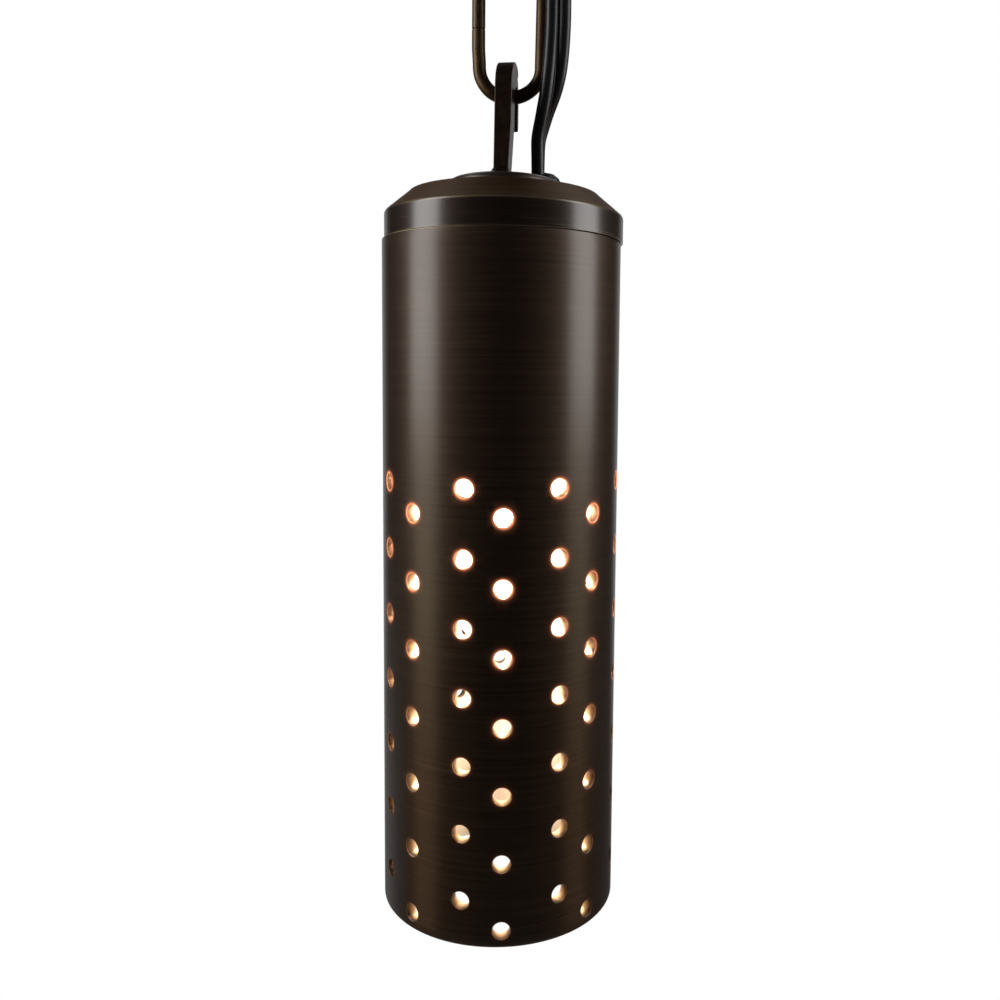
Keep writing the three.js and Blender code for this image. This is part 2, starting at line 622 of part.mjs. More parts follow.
function socketGeometry() {
  const profile = [
    [0, SOCKET_Z],
    [SOCKET_RADIUS - 0.8, SOCKET_Z],
    [SOCKET_RADIUS, SOCKET_Z + 0.8],
    [SOCKET_RADIUS, SOCKET_TOP - 0.8],
    [SOCKET_RADIUS - 0.8, SOCKET_TOP],
    [0, SOCKET_TOP],
  ];
  let socket = solid(lathe(profile, 32).translate(CAP_X, 0, 0));
  for (const side of [-1, 1]) {
    const pinHole = rod(CAP_X + side * PIN_SPACING / 2, 0, 0.9, SOCKET_Z - 1, SOCKET_Z + 7, 12);
    const screwHole = rod(CAP_X, side * SOCKET_SCREW_Y, 1.55, SOCKET_TOP - 6.5, SOCKET_TOP + 1, 16);
    socket = socket.subtract(solid(pinHole)).subtract(solid(screwHole));
  }
  return shell(socket);
}

// Open-topped capsule with a domed end
function bulbGeometry() {
  const profile = [];
  for (let i = 0; i <= 5; i += 1) {
    const angle = Math.PI / 2 * (1 - i / 5);
    profile.push([GLASS_RADIUS * Math.cos(angle), GLASS_BOTTOM + GLASS_RADIUS * (1 - Math.sin(angle))]);
  }
  profile.push([GLASS_RADIUS, GLASS_RIM]);
  const inner = GLASS_RADIUS - GLASS_WALL;
  for (let i = 5; i >= 0; i -= 1) {
    const angle = Math.PI / 2 * (1 - i / 5);
    if (i === 5) profile.push([inner, GLASS_RIM]);
    profile.push([inner * Math.cos(angle), GLASS_BOTTOM + GLASS_RADIUS - inner * Math.sin(angle)]);
  }
  profile[0][0] = 0;
  profile[profile.length - 1][0] = 0;
  return closed(lathe(profile, 20).translate(CAP_X, 0, 0));
}

function filamentGeometry() {
  const top = GLASS_RIM - 0.2;
  const coil = new THREE.CylinderGeometry(0.9, 0.9, 4.6, 12)
    .rotateZ(Math.PI / 2)
    .translate(CAP_X, 0, FILAMENT_Z);
  let joined = solid(coil);
  for (const side of [-1, 1]) {
    joined = joined.add(solid(rod(CAP_X + side * 1.8, 0, 0.35, FILAMENT_Z, top, 8)));
  }
  return shell(joined);
}

const lamp = new THREE.Group();
lamp.position.set(0, 0, -PLATE_TOP);

function add(name, geometry, material) {
  const mesh = new THREE.Mesh(closed(geometry), material);
  mesh.name = name;
  lamp.add(mesh);
}

const [cordX, cordY, , cordTurn] = CORD_LOWER_ROUTE[0];
const [entryX, entryY, , entryTurn] = CORD_UPPER_ROUTE[CORD_UPPER_ROUTE.length - 1];
const coreReach = (CORD_WIDTH - CORD_THICKNESS) / 2;
const strapScrewTop = CHAMBER_TOP - GAP - STRAP_THICKNESS - GAP;

add('ceiling_plate', plateGeometry(), bronze());
add('ceiling_screw_left', plateScrewGeometry(-1), bronze());
add('ceiling_screw_right', plateScrewGeometry(1), bronze());
add('ceiling_eye', eyeGeometry(), bronze());
add('ceiling_grommet', grommetGeometry(), rubber());
add('cord_entry', straightCord(entryX, entryY, entryTurn, CORD_TOP_END + GAP, PLATE_TOP - GAP), cordCover());
add('cord_upper', routedCord(CORD_UPPER_ROUTE, 10), cordCover());
add('chain_link', linkGeometry(), bronze());
add('cord_lower', routedCord(CORD_LOWER_ROUTE, 18), cordCover());
add('cord_tail', straightCord(cordX, cordY, cordTurn, CORD_TAIL_BOTTOM, CORD_LOW_END - GAP), cordCover());
add('cord_seal', sealGeometry(), rubber());
add('hook', hookGeometry(), bronze());
add('hook_washer', washerGeometry(), steel());
add('hook_nut', nutGeometry(), steel());
add('cap', capGeometry(), bronze());
add('shade', shadeGeometry(), bronze());
add('grub_screw_left', grubGeometry(-1), steel());
add('grub_screw_right', grubGeometry(1), steel());
add('socket_strap', strapGeometry(), steel());
add('strap_screw', screwGeometry(
  CAP_X, STRAP_SCREW_Y, 2.8, strapScrewTop - 1.9, strapScrewTop, 1.5, CHAMBER_TOP + 2.8,
), steel());
add('lamp_socket', socketGeometry(), ceramic());
for (const [word, side] of [['front', -1], ['back', 1]]) {
  const y = side * SOCKET_SCREW_Y;
  const seat = SOCKET_TOP + GAP + STRAP_THICKNESS + GAP;
  add(`socket_screw_${word}`, screwGeometry(CAP_X, y, 2.4, seat, seat + 1.8, 1.25, SOCKET_TOP - 6), steel());
  add(`cord_core_${word}`, wire([
    [cordX, side * coreReach, CORD_TAIL_BOTTOM - GAP],
    [cordX + 0.02, side * (coreReach + 0.05), CORD_TAIL_BOTTOM - GAP - 0.9],
    [cordX + 0.45, side * 2.7, CORD_TAIL_BOTTOM - 3.6],
    [SPLICE_X - 0.05, side * (SPLICE_Y - 0.1), SPLICE_TOP + 1.5],
    [SPLICE_X, side * SPLICE_Y, SPLICE_TOP + GAP],
  ], CORE_RADIUS, 8), wireCover());
  const splice = rod(SPLICE_X, side * SPLICE_Y, SPLICE_RADIUS, SPLICE_BOTTOM, SPLICE_TOP, 16);
  add(`splice_${word}`, splice, wireCover());
}
add('lead_wire_front', leadWire(1, -1, 0, 16), wireCover());
add('lead_wire_back', leadWire(-1, 1, LEAD_BOW, 24), wireCover());
add('lamp_bulb', bulbGeometry(), glass());
add('lamp_filament', filamentGeometry(), filament());
add('lamp_base', rod(CAP_X, 0, GLASS_RADIUS - 0.15, GLASS_RIM + GAP, SOCKET_Z - GAP, 24), ceramic());
for (const [word, side] of [['left', -1], ['right', 1]]) {
  const pin = rod(CAP_X + side * PIN_SPACING / 2, 0, PIN_RADIUS, SOCKET_Z, SOCKET_Z + 6.2, 10);
  add(`lamp_pin_${word}`, pin, steel());
}

export default lamp;
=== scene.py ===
import math

import bpy
import numpy as np
from mathutils import Matrix, Vector, noise
from mathutils.geometry import delaunay_2d_cdt


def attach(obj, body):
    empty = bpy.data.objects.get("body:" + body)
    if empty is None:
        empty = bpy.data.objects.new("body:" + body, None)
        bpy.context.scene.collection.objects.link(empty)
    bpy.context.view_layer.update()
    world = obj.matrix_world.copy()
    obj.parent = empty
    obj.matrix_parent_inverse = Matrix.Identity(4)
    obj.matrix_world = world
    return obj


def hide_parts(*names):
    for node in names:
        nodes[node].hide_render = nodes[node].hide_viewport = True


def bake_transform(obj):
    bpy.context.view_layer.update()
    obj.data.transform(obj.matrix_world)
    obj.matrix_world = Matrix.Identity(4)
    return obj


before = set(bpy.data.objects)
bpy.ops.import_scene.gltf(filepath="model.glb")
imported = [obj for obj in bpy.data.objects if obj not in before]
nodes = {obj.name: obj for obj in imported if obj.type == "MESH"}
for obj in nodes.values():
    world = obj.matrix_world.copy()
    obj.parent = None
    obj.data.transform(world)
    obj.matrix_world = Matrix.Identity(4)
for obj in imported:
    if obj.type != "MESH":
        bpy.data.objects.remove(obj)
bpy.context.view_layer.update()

# Sizes in millimetres, heights from the shade's lower rim, as in the CAD source
# TOP is the ceiling's height
MM = 0.001
TOP = 290.0
SHADE_X, CAP_X = -2.0, -1.42
# The tube's outside is drawn 0.08 mm over its nominal radius, as wide as the photograph shows it
R_OUT, R_IN, LENGTH = 31.75 + 0.08, 28.75, 178.0
BOSS_TOP = 194.7


def at(x, y, z):
    return (x * MM, y * MM, (z - TOP) * MM)


# Camera, at the photograph's viewing angle: pitch, yaw and roll in radians, lens in sensor widths
PITCH, YAW, ROLL = 0.08517, 0.04049, 0.00899
CAMERA_Y, CAMERA_Z = -257.8, 142.3
SENSOR, LENS = 36.0, 0.9445
SHIFT_X, SHIFT_Y = -0.0388, -0.0400


def make_camera():
    look = Vector((math.sin(YAW) * math.cos(PITCH), math.cos(YAW) * math.cos(PITCH), -math.sin(PITCH)))
    right = Vector((math.cos(YAW), -math.sin(YAW), 0.0))
    up = right.cross(look)
    right_rolled = right * math.cos(ROLL) + up * math.sin(ROLL)
    up_rolled = -right * math.sin(ROLL) + up * math.cos(ROLL)
    camera = bpy.data.objects.new("camera", bpy.data.cameras.new("camera"))
    bpy.context.scene.collection.objects.link(camera)
    turn = Matrix((right_rolled, up_rolled, -look)).transposed().to_4x4()
    camera.matrix_world = Matrix.Translation(Vector(at(SHADE_X, CAMERA_Y, CAMERA_Z))) @ turn
    camera.data.sensor_width = SENSOR
    camera.data.lens = SENSOR * LENS
    camera.data.shift_x = SHIFT_X
    camera.data.shift_y = SHIFT_Y
    camera.data.clip_start = 0.01
    camera.data.clip_end = 50.0
    bpy.context.scene.camera = camera


make_camera()


# Mesh helpers
def link_mesh(name, verts, faces, material, wear=None, glow=None, depth=None, sharp=35.0):
    mesh = bpy.data.meshes.new(name)
    mesh.from_pydata([tuple(v) for v in verts], [], [tuple(f) for f in faces])
    mesh.validate()
    mesh.update()
    for label, values in (("wear", wear), ("glow", glow), ("depth", depth)):
        if values is not None:
            attribute = mesh.attributes.new(label, "FLOAT", "POINT")
            attribute.data.foreach_set("value", np.asarray(values, np.float32))
    mesh.polygons.foreach_set("use_smooth", [True] * len(mesh.polygons))
    mesh.set_sharp_from_angle(angle=math.radians(sharp))
    mesh.materials.append(material)
    obj = bpy.data.objects.new(name, mesh)
    bpy.context.scene.collection.objects.link(obj)
    return obj


class Shell:
    """Points and faces collected for one mesh."""

    def __init__(self):
        self.verts, self.faces, self.wear = [], [], []

    def add(self, verts, faces, wear=None):
        base = len(self.verts)
        self.verts += [tuple(v) for v in verts]
        self.faces += [tuple(i + base for i in f) for f in faces]
        self.wear += list(wear) if wear is not None else [0.0] * len(verts)


def lathe(profile, segments, x=0.0, y=0.0, wear=None):
    """Closed turned shape; its profile runs counterclockwise in (radius, height)."""
    verts, rings, worn = [], [], []
    for k, (r, z) in enumerate(profile):
        amount = wear[k] if wear else 0.0
        if r < 1e-6:
            rings.append([len(verts)] * segments)
            verts.append(at(x, y, z))
            worn.append(amount)
        else:
            rings.append([len(verts) + i for i in range(segments)])
            for i in range(segments):
                a = 2 * math.pi * i / segments
                verts.append(at(x + r * math.cos(a), y + r * math.sin(a), z))
                worn.append(amount)
    faces = []
    closed = profile[0][0] > 1e-6
    count = len(rings) if closed else len(rings) - 1
    for k in range(count):
        a, b = rings[k], rings[(k + 1) % len(rings)]
        for i in range(segments):
            j = (i + 1) % segments
            face = [a[i], a[j], b[j], b[i]]
            face = [v for n, v in enumerate(face) if v != face[n - 1]]
            if len(face) > 2:
                faces.append(face)
    return verts, faces, worn


def arc(cx, cz, r, a0, a1, n):
    """Points of a rounded edge in (radius, height), angles in degrees."""
    turns = [math.radians(a0 + (a1 - a0) * i / n) for i in range(n + 1)]
    return [(cx + r * math.cos(a), cz + r * math.sin(a)) for a in turns]


def sweep(points, frames, section):
    """Section points (u, v) drawn along points, each with its (wide, thick) directions; ends closed."""
    n = len(section)
    verts = []
    for p, (wide, thick) in zip(points, frames):
        for u, v in section:
            verts.append(tuple(np.asarray(p) + u * np.asarray(wide) + v * np.asarray(thick)))
    faces = []
    for k in range(len(points) - 1):
        a, b = k * n, (k + 1) * n
        for i in range(n):
            j = (i + 1) % n
            faces.append((a + i, a + j, b + j, b + i))
    faces.append(tuple(reversed(range(n))))
    faces.append(tuple((len(points) - 1) * n + i for i in range(n)))
    return verts, faces


def circle(radius, n):
    turns = [2 * math.pi * i / n for i in range(n)]
    return [(radius * math.cos(a), radius * math.sin(a)) for a in turns]


def smooth_path(points, n):
    """Natural cubic through the points by chord length, as n + 1 rows of x, y, z and whatever follows."""
    p = np.asarray(points, float)
    t = np.concatenate([[0], np.cumsum(np.linalg.norm(np.diff(p[:, :3], axis=0), axis=1))])
    h = np.diff(t)
    m = len(t)
    lhs = np.eye(m)
    rhs = np.zeros_like(p)
    for i in range(1, m - 1):
        lhs[i, i - 1], lhs[i, i], lhs[i, i + 1] = h[i - 1], 2 * (h[i - 1] + h[i]), h[i]
        rhs[i] = 6 * ((p[i + 1] - p[i]) / h[i] - (p[i] - p[i - 1]) / h[i - 1])
    bend = np.linalg.solve(lhs, rhs)
    s = np.linspace(0, t[-1], n + 1)
    k = np.clip(np.searchsorted(t, s, side="right") - 1, 0, m - 2)
    d = h[k][:, None]
    u = (s - t[k])[:, None]
    w = (t[k + 1] - s)[:, None]
    return (
        bend[k] * w**3 / (6 * d)
        + bend[k + 1] * u**3 / (6 * d)
        + (p[k] / d - bend[k] * d / 6) * w
        + (p[k + 1] / d - bend[k + 1] * d / 6) * u
    )


# Material helpers
def new_material(name):
    material = bpy.data.materials.new(name)
    material.use_nodes = True
    tree = material.node_tree
    return material, tree, tree.nodes["Principled BSDF"]


def node(tree, kind, **values):
    made = tree.nodes.new(kind)
    for key, value in values.items():
        setattr(made, key, value)
    return made


def math_node(tree, operation, a, b=None, clamp=False):
    made = node(tree, "ShaderNodeMath", operation=operation, use_clamp=clamp)
    for slot, value in ((0, a), (1, b)):
        if value is None:
            continue
        if hasattr(value, "links"):
            tree.links.new(value, made.inputs[slot])
        else:
            made.inputs[slot].default_value = value
    return made.outputs[0]


def scaled_noise(tree, scale, detail=3.0, rough=0.55):
    """Noise in object space, drawn out by a scale per axis."""
    coordinates = node(tree, "ShaderNodeTexCoord")
    mapping = node(tree, "ShaderNodeMapping")
    mapping.inputs["Scale"].default_value = scale
    tree.links.new(coordinates.outputs["Object"], mapping.inputs["Vector"])
    made = node(tree, "ShaderNodeTexNoise")
    made.inputs["Scale"].default_value = 1.0
    made.inputs["Detail"].default_value = detail
    made.inputs["Roughness"].default_value = rough
    tree.links.new(mapping.outputs["Vector"], made.inputs["Vector"])
    return made.outputs["Fac"]


def ramp(tree, fac, stops):
    made = node(tree, "ShaderNodeValToRGB")
    elements = made.color_ramp.elements
    while len(elements) < len(stops):
        elements.new(0.5)
    for element, (position, color) in zip(elements, stops):
        element.position = position
        element.color = (*color, 1.0)
    tree.links.new(fac, made.inputs["Fac"])
    return made.outputs["Color"]


def mix_color(tree, fac, a, b):
    made = node(tree, "ShaderNodeMix", data_type="RGBA", blend_type="MIX")
    for slot, value in ((0, fac), (6, a), (7, b)):
        if hasattr(value, "links"):
            tree.links.new(value, made.inputs[slot])
        elif isinstance(value, (int, float)):
            made.inputs[slot].default_value = value
        else:
            made.inputs[slot].default_value = (*value, 1.0)
    return made.outputs[2]


def map_range(tree, value, a, b, c, d):
    made = node(tree, "ShaderNodeMapRange")
    tree.links.new(value, made.inputs["Value"])
    for slot, number in (("From Min", a), ("From Max", b), ("To Min", c), ("To Max", d)):
        made.inputs[slot].default_value = number
    return made.outputs["Result"]


def bronze(
    name, dark, light, gold, streak, glints=0.62, coat=1.0, coat_rough=0.27, coat_ior=1.5,
    halo=0.0, worn=None,
):
    """Lacquered dark patina on brass: fine brush lines, clouding, gold where it is rubbed (on the shade's
    top rim also a painted highlight), and with halo a painted warm glow.
    """
    material, tree, shader = new_material(name)
    fine = scaled_noise(tree, streak, detail=4.0, rough=0.7)
    coarse = scaled_noise(tree, tuple(s * 0.22 for s in streak), detail=2.0)
    cloud = scaled_noise(tree, (60.0, 60.0, 45.0), detail=3.0)
    fine_share = math_node(tree, "MULTIPLY", fine, 0.7)
    tone = math_node(tree, "ADD", fine_share, math_node(tree, "MULTIPLY", coarse, 0.3))
    base = ramp(tree, tone, [(0.36, dark), (0.64, light)])
    base = mix_color(tree, map_range(tree, cloud, 0.35, 0.7, 0.0, 0.4), base, dark)
    glint = map_range(tree, fine, glints, glints + 0.1, 0.0, 0.45)
    glint = math_node(tree, "MULTIPLY", glint, map_range(tree, coarse, 0.42, 0.62, 0.0, 1.0))
    base = mix_color(tree, glint, base, gold)
    # The wear attribute: rubbed edges, and on the shade's top rim also a painted highlight
    attribute = node(tree, "ShaderNodeAttribute", attribute_name="wear")
    rubbed = attribute.outputs["Fac"]
    rubbed = math_node(tree, "MULTIPLY", rubbed, map_range(tree, coarse, 0.3, 0.6, 0.25, 1.0))
    rubbed = math_node(tree, "MULTIPLY", rubbed, map_range(tree, cloud, 0.3, 0.6, 0.35, 1.0), clamp=True)
    base = mix_color(tree, rubbed, base, worn or gold)
    tree.links.new(base, shader.inputs["Base Color"])
    shader.inputs["Metallic"].default_value = 1.0
    shader.inputs["Coat Weight"].default_value = coat
    shader.inputs["Coat Roughness"].default_value = coat_rough
    shader.inputs["Coat IOR"].default_value = coat_ior
    tree.links.new(map_range(tree, fine, 0.3, 0.7, 0.46, 0.56), shader.inputs["Roughness"])
    height = node(tree, "ShaderNodeBump")
    height.inputs["Strength"].default_value = 0.05
    height.inputs["Distance"].default_value = 0.0002
    tree.links.new(fine, height.inputs["Height"])
    tree.links.new(height.outputs["Normal"], shader.inputs["Normal"])
    tree.links.new(height.outputs["Normal"], shader.inputs["Coat Normal"])
    # Painted glow: with halo, warm emission on the surface where the glow attribute marks it, round the
    # shade's holes
    if halo > 0.0:
        glow = node(tree, "ShaderNodeAttribute", attribute_name="glow")
        level = math_node(tree, "MULTIPLY", math_node(tree, "POWER", glow.outputs["Fac"], 2.0), halo)
        shader.inputs["Emission Color"].default_value = (1.0, 0.30, 0.13, 1.0)
        tree.links.new(level, shader.inputs["Emission Strength"])
    return material


def plain(name, color, roughness, metallic=0.0, variation=0.12, grain=900.0, bump=0.04, spread=0.08):
    """A plain finish with mottling, small changes of gloss and a fine bump."""
    material, tree, shader = new_material(name)
    mottle = scaled_noise(tree, (grain * 0.12,) * 3, detail=3.0)
    fine = scaled_noise(tree, (grain,) * 3, detail=2.0)
    low = tuple(c * (1 - variation) for c in color)
    high = tuple(min(1.0, c * (1 + variation)) for c in color)
    tree.links.new(ramp(tree, mottle, [(0.35, low), (0.65, high)]), shader.inputs["Base Color"])
    gloss = map_range(tree, fine, 0.3, 0.7, roughness - spread, roughness + spread)
    tree.links.new(gloss, shader.inputs["Roughness"])
    shader.inputs["Metallic"].default_value = metallic
    height = node(tree, "ShaderNodeBump")
    height.inputs["Strength"].default_value = bump
    height.inputs["Distance"].default_value = 0.0001
    tree.links.new(fine, height.inputs["Height"])
    tree.links.new(height.outputs["Normal"], shader.inputs["Normal"])
    return material


def hole_walls():
    """Drilled walls: dark at the outside where the patina reaches in, paler towards the inside; that
    paleness is painted light from the lamp within, and the glow attribute adds a painted warm glow.
    """
    material, tree, shader = new_material("hole_bronze")
    mottle = scaled_noise(tree, (420.0,) * 3, detail=3.0)
    depth = node(tree, "ShaderNodeAttribute", attribute_name="depth").outputs["Fac"]
    # Painted light: the wall turns pale towards the inside, where the lamp within lights it
    reach = math_node(tree, "ADD", depth, map_range(tree, mottle, 0.3, 0.7, -0.10, 0.10))
    stops = [
        (0.0, (0.055, 0.034, 0.022)), (0.35, (0.19, 0.125, 0.080)),
        (0.7, (0.48, 0.36, 0.25)), (1.0, (0.92, 0.79, 0.63)),
    ]
    tree.links.new(ramp(tree, reach, stops), shader.inputs["Base Color"])
    tree.links.new(map_range(tree, mottle, 0.3, 0.7, 0.42, 0.56), shader.inputs["Roughness"])
    shader.inputs["Metallic"].default_value = 0.8
    # Painted glow: warm emission where the glow attribute marks the holes
    glow = node(tree, "ShaderNodeAttribute", attribute_name="glow")
    level = math_node(tree, "MULTIPLY", math_node(tree, "POWER", glow.outputs["Fac"], 2.0), 0.22)
    shader.inputs["Emission Color"].default_value = (1.0, 0.42, 0.22, 1.0)
    tree.links.new(level, shader.inputs["Emission Strength"])
    return material


GOLD = (0.20, 0.135, 0.065)
# The shade's bronze carries the painted glow round its holes
shade_bronze = bronze(
    "shade_bronze", (0.044, 0.026, 0.016), (0.072, 0.045, 0.029), (0.11, 0.075, 0.040),
    (24.0, 24.0, 2600.0), halo=1.3, worn=(0.92, 0.76, 0.47),
)
cap_bronze = bronze(
    "cap_bronze", (0.020, 0.012, 0.008), (0.034, 0.022, 0.016), (0.42, 0.33, 0.19),
    (22.0, 22.0, 2600.0), coat_rough=0.23, coat_ior=1.65,
)
# Painted light: a lighter, browner copy of the cap's bronze for the cone's upward faces, standing in for
# warm light reflected onto them from above
cone_painted_light_bronze = bronze(
    "cone_painted_light_bronze", (0.084, 0.042, 0.019), (0.146, 0.079, 0.038), GOLD,
    (22.0, 22.0, 2200.0), coat=0.05, coat_rough=0.34,
)
boss_bronze = bronze(
    "boss_bronze", (0.034, 0.020, 0.012), (0.058, 0.036, 0.022), GOLD,
    (22.0, 22.0, 2200.0), coat_rough=0.36, coat_ior=1.6,
)
part_bronze = bronze(
    "part_bronze", (0.026, 0.013, 0.009), (0.046, 0.028, 0.018), GOLD,
    (420.0, 420.0, 420.0), glints=0.70, coat=0.6,
)
chain_bronze = bronze(
    "chain_bronze", (0.060, 0.040, 0.022), (0.13, 0.088, 0.048), GOLD,
    (700.0, 700.0, 260.0), glints=0.66, coat=0.2,
)
plate_bronze = bronze(
    "plate_bronze", (0.042, 0.027, 0.019), (0.066, 0.043, 0.030), GOLD,
    (300.0, 300.0, 300.0), glints=0.70,
)
shade_lining = plain("shade_lining", (0.84, 0.76, 0.67), 0.58, metallic=0.3, variation=0.06)
hole_bronze = hole_walls()
steel = plain("steel_satin", (0.56, 0.55, 0.52), 0.34, metallic=1.0, variation=0.08)
rubber = plain("rubber_black", (0.012, 0.011, 0.011), 0.40, variation=0.25, grain=1400.0, bump=0.12)
cord_black = plain(
    "cord_black", (0.0085, 0.0078, 0.0105), 0.36, variation=0.2, grain=1600.0, bump=0.02, spread=0.04
)
wire_black = plain("wire_black", (0.030, 0.027, 0.024), 0.42, variation=0.2)
ceramic = plain("ceramic_white", (0.82, 0.78, 0.70), 0.46, variation=0.06, bump=0.06)


def glowing(name, color, grain, dim, bright, strength):
    """A lamp's part that shines, its colour mottled from dim to bright."""
    material, tree, shader = new_material(name)
    shader.inputs["Base Color"].default_value = (*color, 1.0)
    shader.inputs["Emission Strength"].default_value = strength
    mottle = scaled_noise(tree, (grain,) * 3)
    tree.links.new(ramp(tree, mottle, [(0.3, dim), (0.7, bright)]), shader.inputs["Emission Color"])
    return material, shader


GLASS_DIM, GLASS_BRIGHT = (1.0, 0.85, 0.66), (1.0, 0.89, 0.72)
WIRE_DIM, WIRE_BRIGHT = (1.0, 0.62, 0.30), (1.0, 0.75, 0.45)
glow_glass, shader = glowing("glow_glass", (1.0, 0.95, 0.85), 120.0, GLASS_DIM, GLASS_BRIGHT, 430.0)
shader.inputs["Roughness"].default_value = 0.2
glow_wire, shader = glowing("glow_wire", (1.0, 0.8, 0.5), 300.0, WIRE_DIM, WIRE_BRIGHT, 900.0)
shader.inputs["Metallic"].default_value = 0.6


# Cord: two round cores side by side, one real cord drawn in two stretches
CORD_R, CORD_REACH = 1.75, 1.65
# Rows of x, y, z and the cord's turn in degrees
LOWER = [
    (7.55, 0.0, 196.3, 3), (7.53, 0.0, 199.0, 4), (7.52, -0.1, 202.0, 6), (7.62, -0.5, 205.6, 9),
    (8.45, -1.3, 209.4, 16), (9.3, -2.2, 212.7, 25), (10.4, -3.2, 216.7, 44), (11.0, -3.8, 219.6, 58),
    (11.55, -4.1, 223.2, 71), (11.95, -4.15, 227.7, 80), (12.2, -4.1, 232.5, 84), (12.3, -4.05, 236.5, 85),
    (12.3, -4.0, 240.15, 85),
]
UPPER = [
    (12.3, -4.0, 240.15, 85), (12.3, -3.95, 244.0, 85), (12.4, -3.9, 250.0, 86), (12.6, -3.75, 257.0, 87),
    (12.85, -3.55, 264.0, 88), (13.05, -3.35, 271.0, 89), (13.2, -3.2, 277.5, 90), (13.2, -3.2, 283.4, 90),
]


def cord_section():
    """Two lobes with a groove between them, counterclockwise."""
    gap, n = math.radians(32), 18
    points = []
    for side, start in ((1, -math.pi + gap), (-1, gap)):
        for i in range(n):
            a = start + (2 * math.pi - 2 * gap) * i / (n - 1)
            points.append((side * CORD_REACH + CORD_R * math.cos(a), CORD_R * math.sin(a)))
    return points


def cord_axes(degrees):
    """The cord's wide direction at a turn; at 0 degrees its flat faces the sides."""
    a = math.radians(degrees)
    return np.array((-math.sin(a), -math.cos(a), 0.0))


def cord_piece(name, route, steps):
    rows = smooth_path(route, steps)
    points = rows[:, :3]
    along = np.gradient(points, axis=0)
    along[0] = along[-1] = (0, 0, 1 if points[-1][2] > points[0][2] else -1)
    along /= np.linalg.norm(along, axis=1)[:, None]
    frames = []
    for t, degrees in zip(along, rows[:, 3]):
        wide = cord_axes(degrees)
        wide -= t * wide.dot(t)
        wide /= np.linalg.norm(wide)
        frames.append((wide, np.cross(t, wide)))
    verts, faces = sweep(points, frames, cord_section())
    obj = link_mesh(name, [at(*v) for v in verts], faces, cord_black, sharp=60.0)
    path = [at(*p) for p in points[:: max(1, steps // 30)]]
    if tuple(path[-1]) != at(*points[-1]):
        path.append(at(*points[-1]))
    return obj, path


lower, lower_path = cord_piece("cord_lower_cover", LOWER, 90)
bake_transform(lower)
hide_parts("cord_lower")
upper, upper_path = cord_piece("cord_upper_cover", list(reversed(UPPER)), 60)
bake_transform(upper)
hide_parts("cord_upper")


def place(obj, body, replaced):
    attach(obj, body)
    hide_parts(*replaced)
    return obj


# The cord's straight end in the cap
x, y, _, degrees = LOWER[0]
wide = cord_axes(degrees)
tail_points = [(x, y, z) for z in (181.0, 188.0, 196.6)]
verts, faces = sweep(tail_points, [(wide, np.cross((0, 0, 1), wide))] * 3, cord_section())
tail = link_mesh("cord_tail_cover", [at(*v) for v in verts], faces, cord_black, sharp=60.0)
place(tail, "pendant", ["cord_tail"])


# Shade: drilled tube with round holes, their edges broken
ROWS, PITCH_HIGH, PITCH_LOW = 7, 17.34, 17.39
FIRST_HIGH, FIRST_LOW = 11.71, 4.39
# Columns of holes: angle from the viewer's side, and how far the column leans over its height, in degrees
HIGH = [(-64.5, 0), (-17.5, 1.2), (29.4, -2.2), (75.5, 0), (119, 0), (162, 0), (205.4, 0), (250, 0)]
LOW = [(-88.7, 0), (-44.7, 1.2), (1.4, 0), (46.8, 0.7), (91, 0), (135, 0), (180.7, 0), (226.3, 0)]
HOLE_R, HOLE_SIDES, EDGE = 2.275, 28, 0.16
SCREW_HOLE_R, SCREW_HOLE_Z = 2.3, 172.0
# The walls' grid of points: its angles start and end on the seam, and it keeps clear of the holes
SEAM, COLUMNS, LEVELS, CLEAR = -145.0, 112, 78, 1.15
ANGLES = [SEAM + 360.0 * i / COLUMNS for i in range(COLUMNS + 1)]
# Heights between which the outer and the inner wall run; the rims' broken edges lie beyond them
OUTER_WALL, INNER_WALL = (0.45, LENGTH - 0.16), (0.25, LENGTH - 0.25)
# The tube's top is a little off square: higher at the left, and close to the cap but for the right.
# The lift grows over the last millimetres below it.
RIM_SKEW, RIM_CLOSE, LIFT_FROM, LIFT_OVER = 0.33, 0.25, 175.0, 2.6
# Painted glow: warm emission on the metal round the holes' outer edges, by row from the lowest, and how it
# fades in rings round a hole
ROW_GLOW = (0.10, 0.16, 0.28, 0.42, 0.60, 0.80, 1.0)
GLOW_RINGS = ((0.0, 1.0), (0.32, 0.5), (0.80, 0.16))
# The broken edges of the rims, from outside to inside: radius, height inside the rim, wear; on the upper
# rim the wear is also a painted highlight, weighted to the left
LOW_RIM = (
    (R_OUT - 0.04, 0.24, 0.2), (R_OUT - 0.14, 0.09, 0.25),
    (R_OUT - 0.32, 0.0, 0.2), (R_IN + 0.25, 0.0, 0.1),
)
HIGH_RIM = (
    (R_OUT - 0.015, 0.09, 1.0), (R_OUT - 0.07, 0.03, 1.0),
    (R_OUT - 0.14, 0.0, 0.5), (R_IN + 0.25, 0.0, 0.1),
)


def drilled_holes():
    """Angle, height, radius and glow of each hole, the drilled rows first, then the two for grub screws."""
    holes = []
    for columns, first, pitch in ((HIGH, FIRST_HIGH, PITCH_HIGH), (LOW, FIRST_LOW, PITCH_LOW)):
        for k in range(ROWS):
            for a, lean in columns:
                holes.append((a + lean * k / (ROWS - 1), first + pitch * k, HOLE_R, ROW_GLOW[k]))
    holes += [(a, SCREW_HOLE_Z, SCREW_HOLE_R, 0.0) for a in (90, -90)]
    return [((a - SEAM) % 360.0 + SEAM, z, r, glow) for a, z, r, glow in holes]


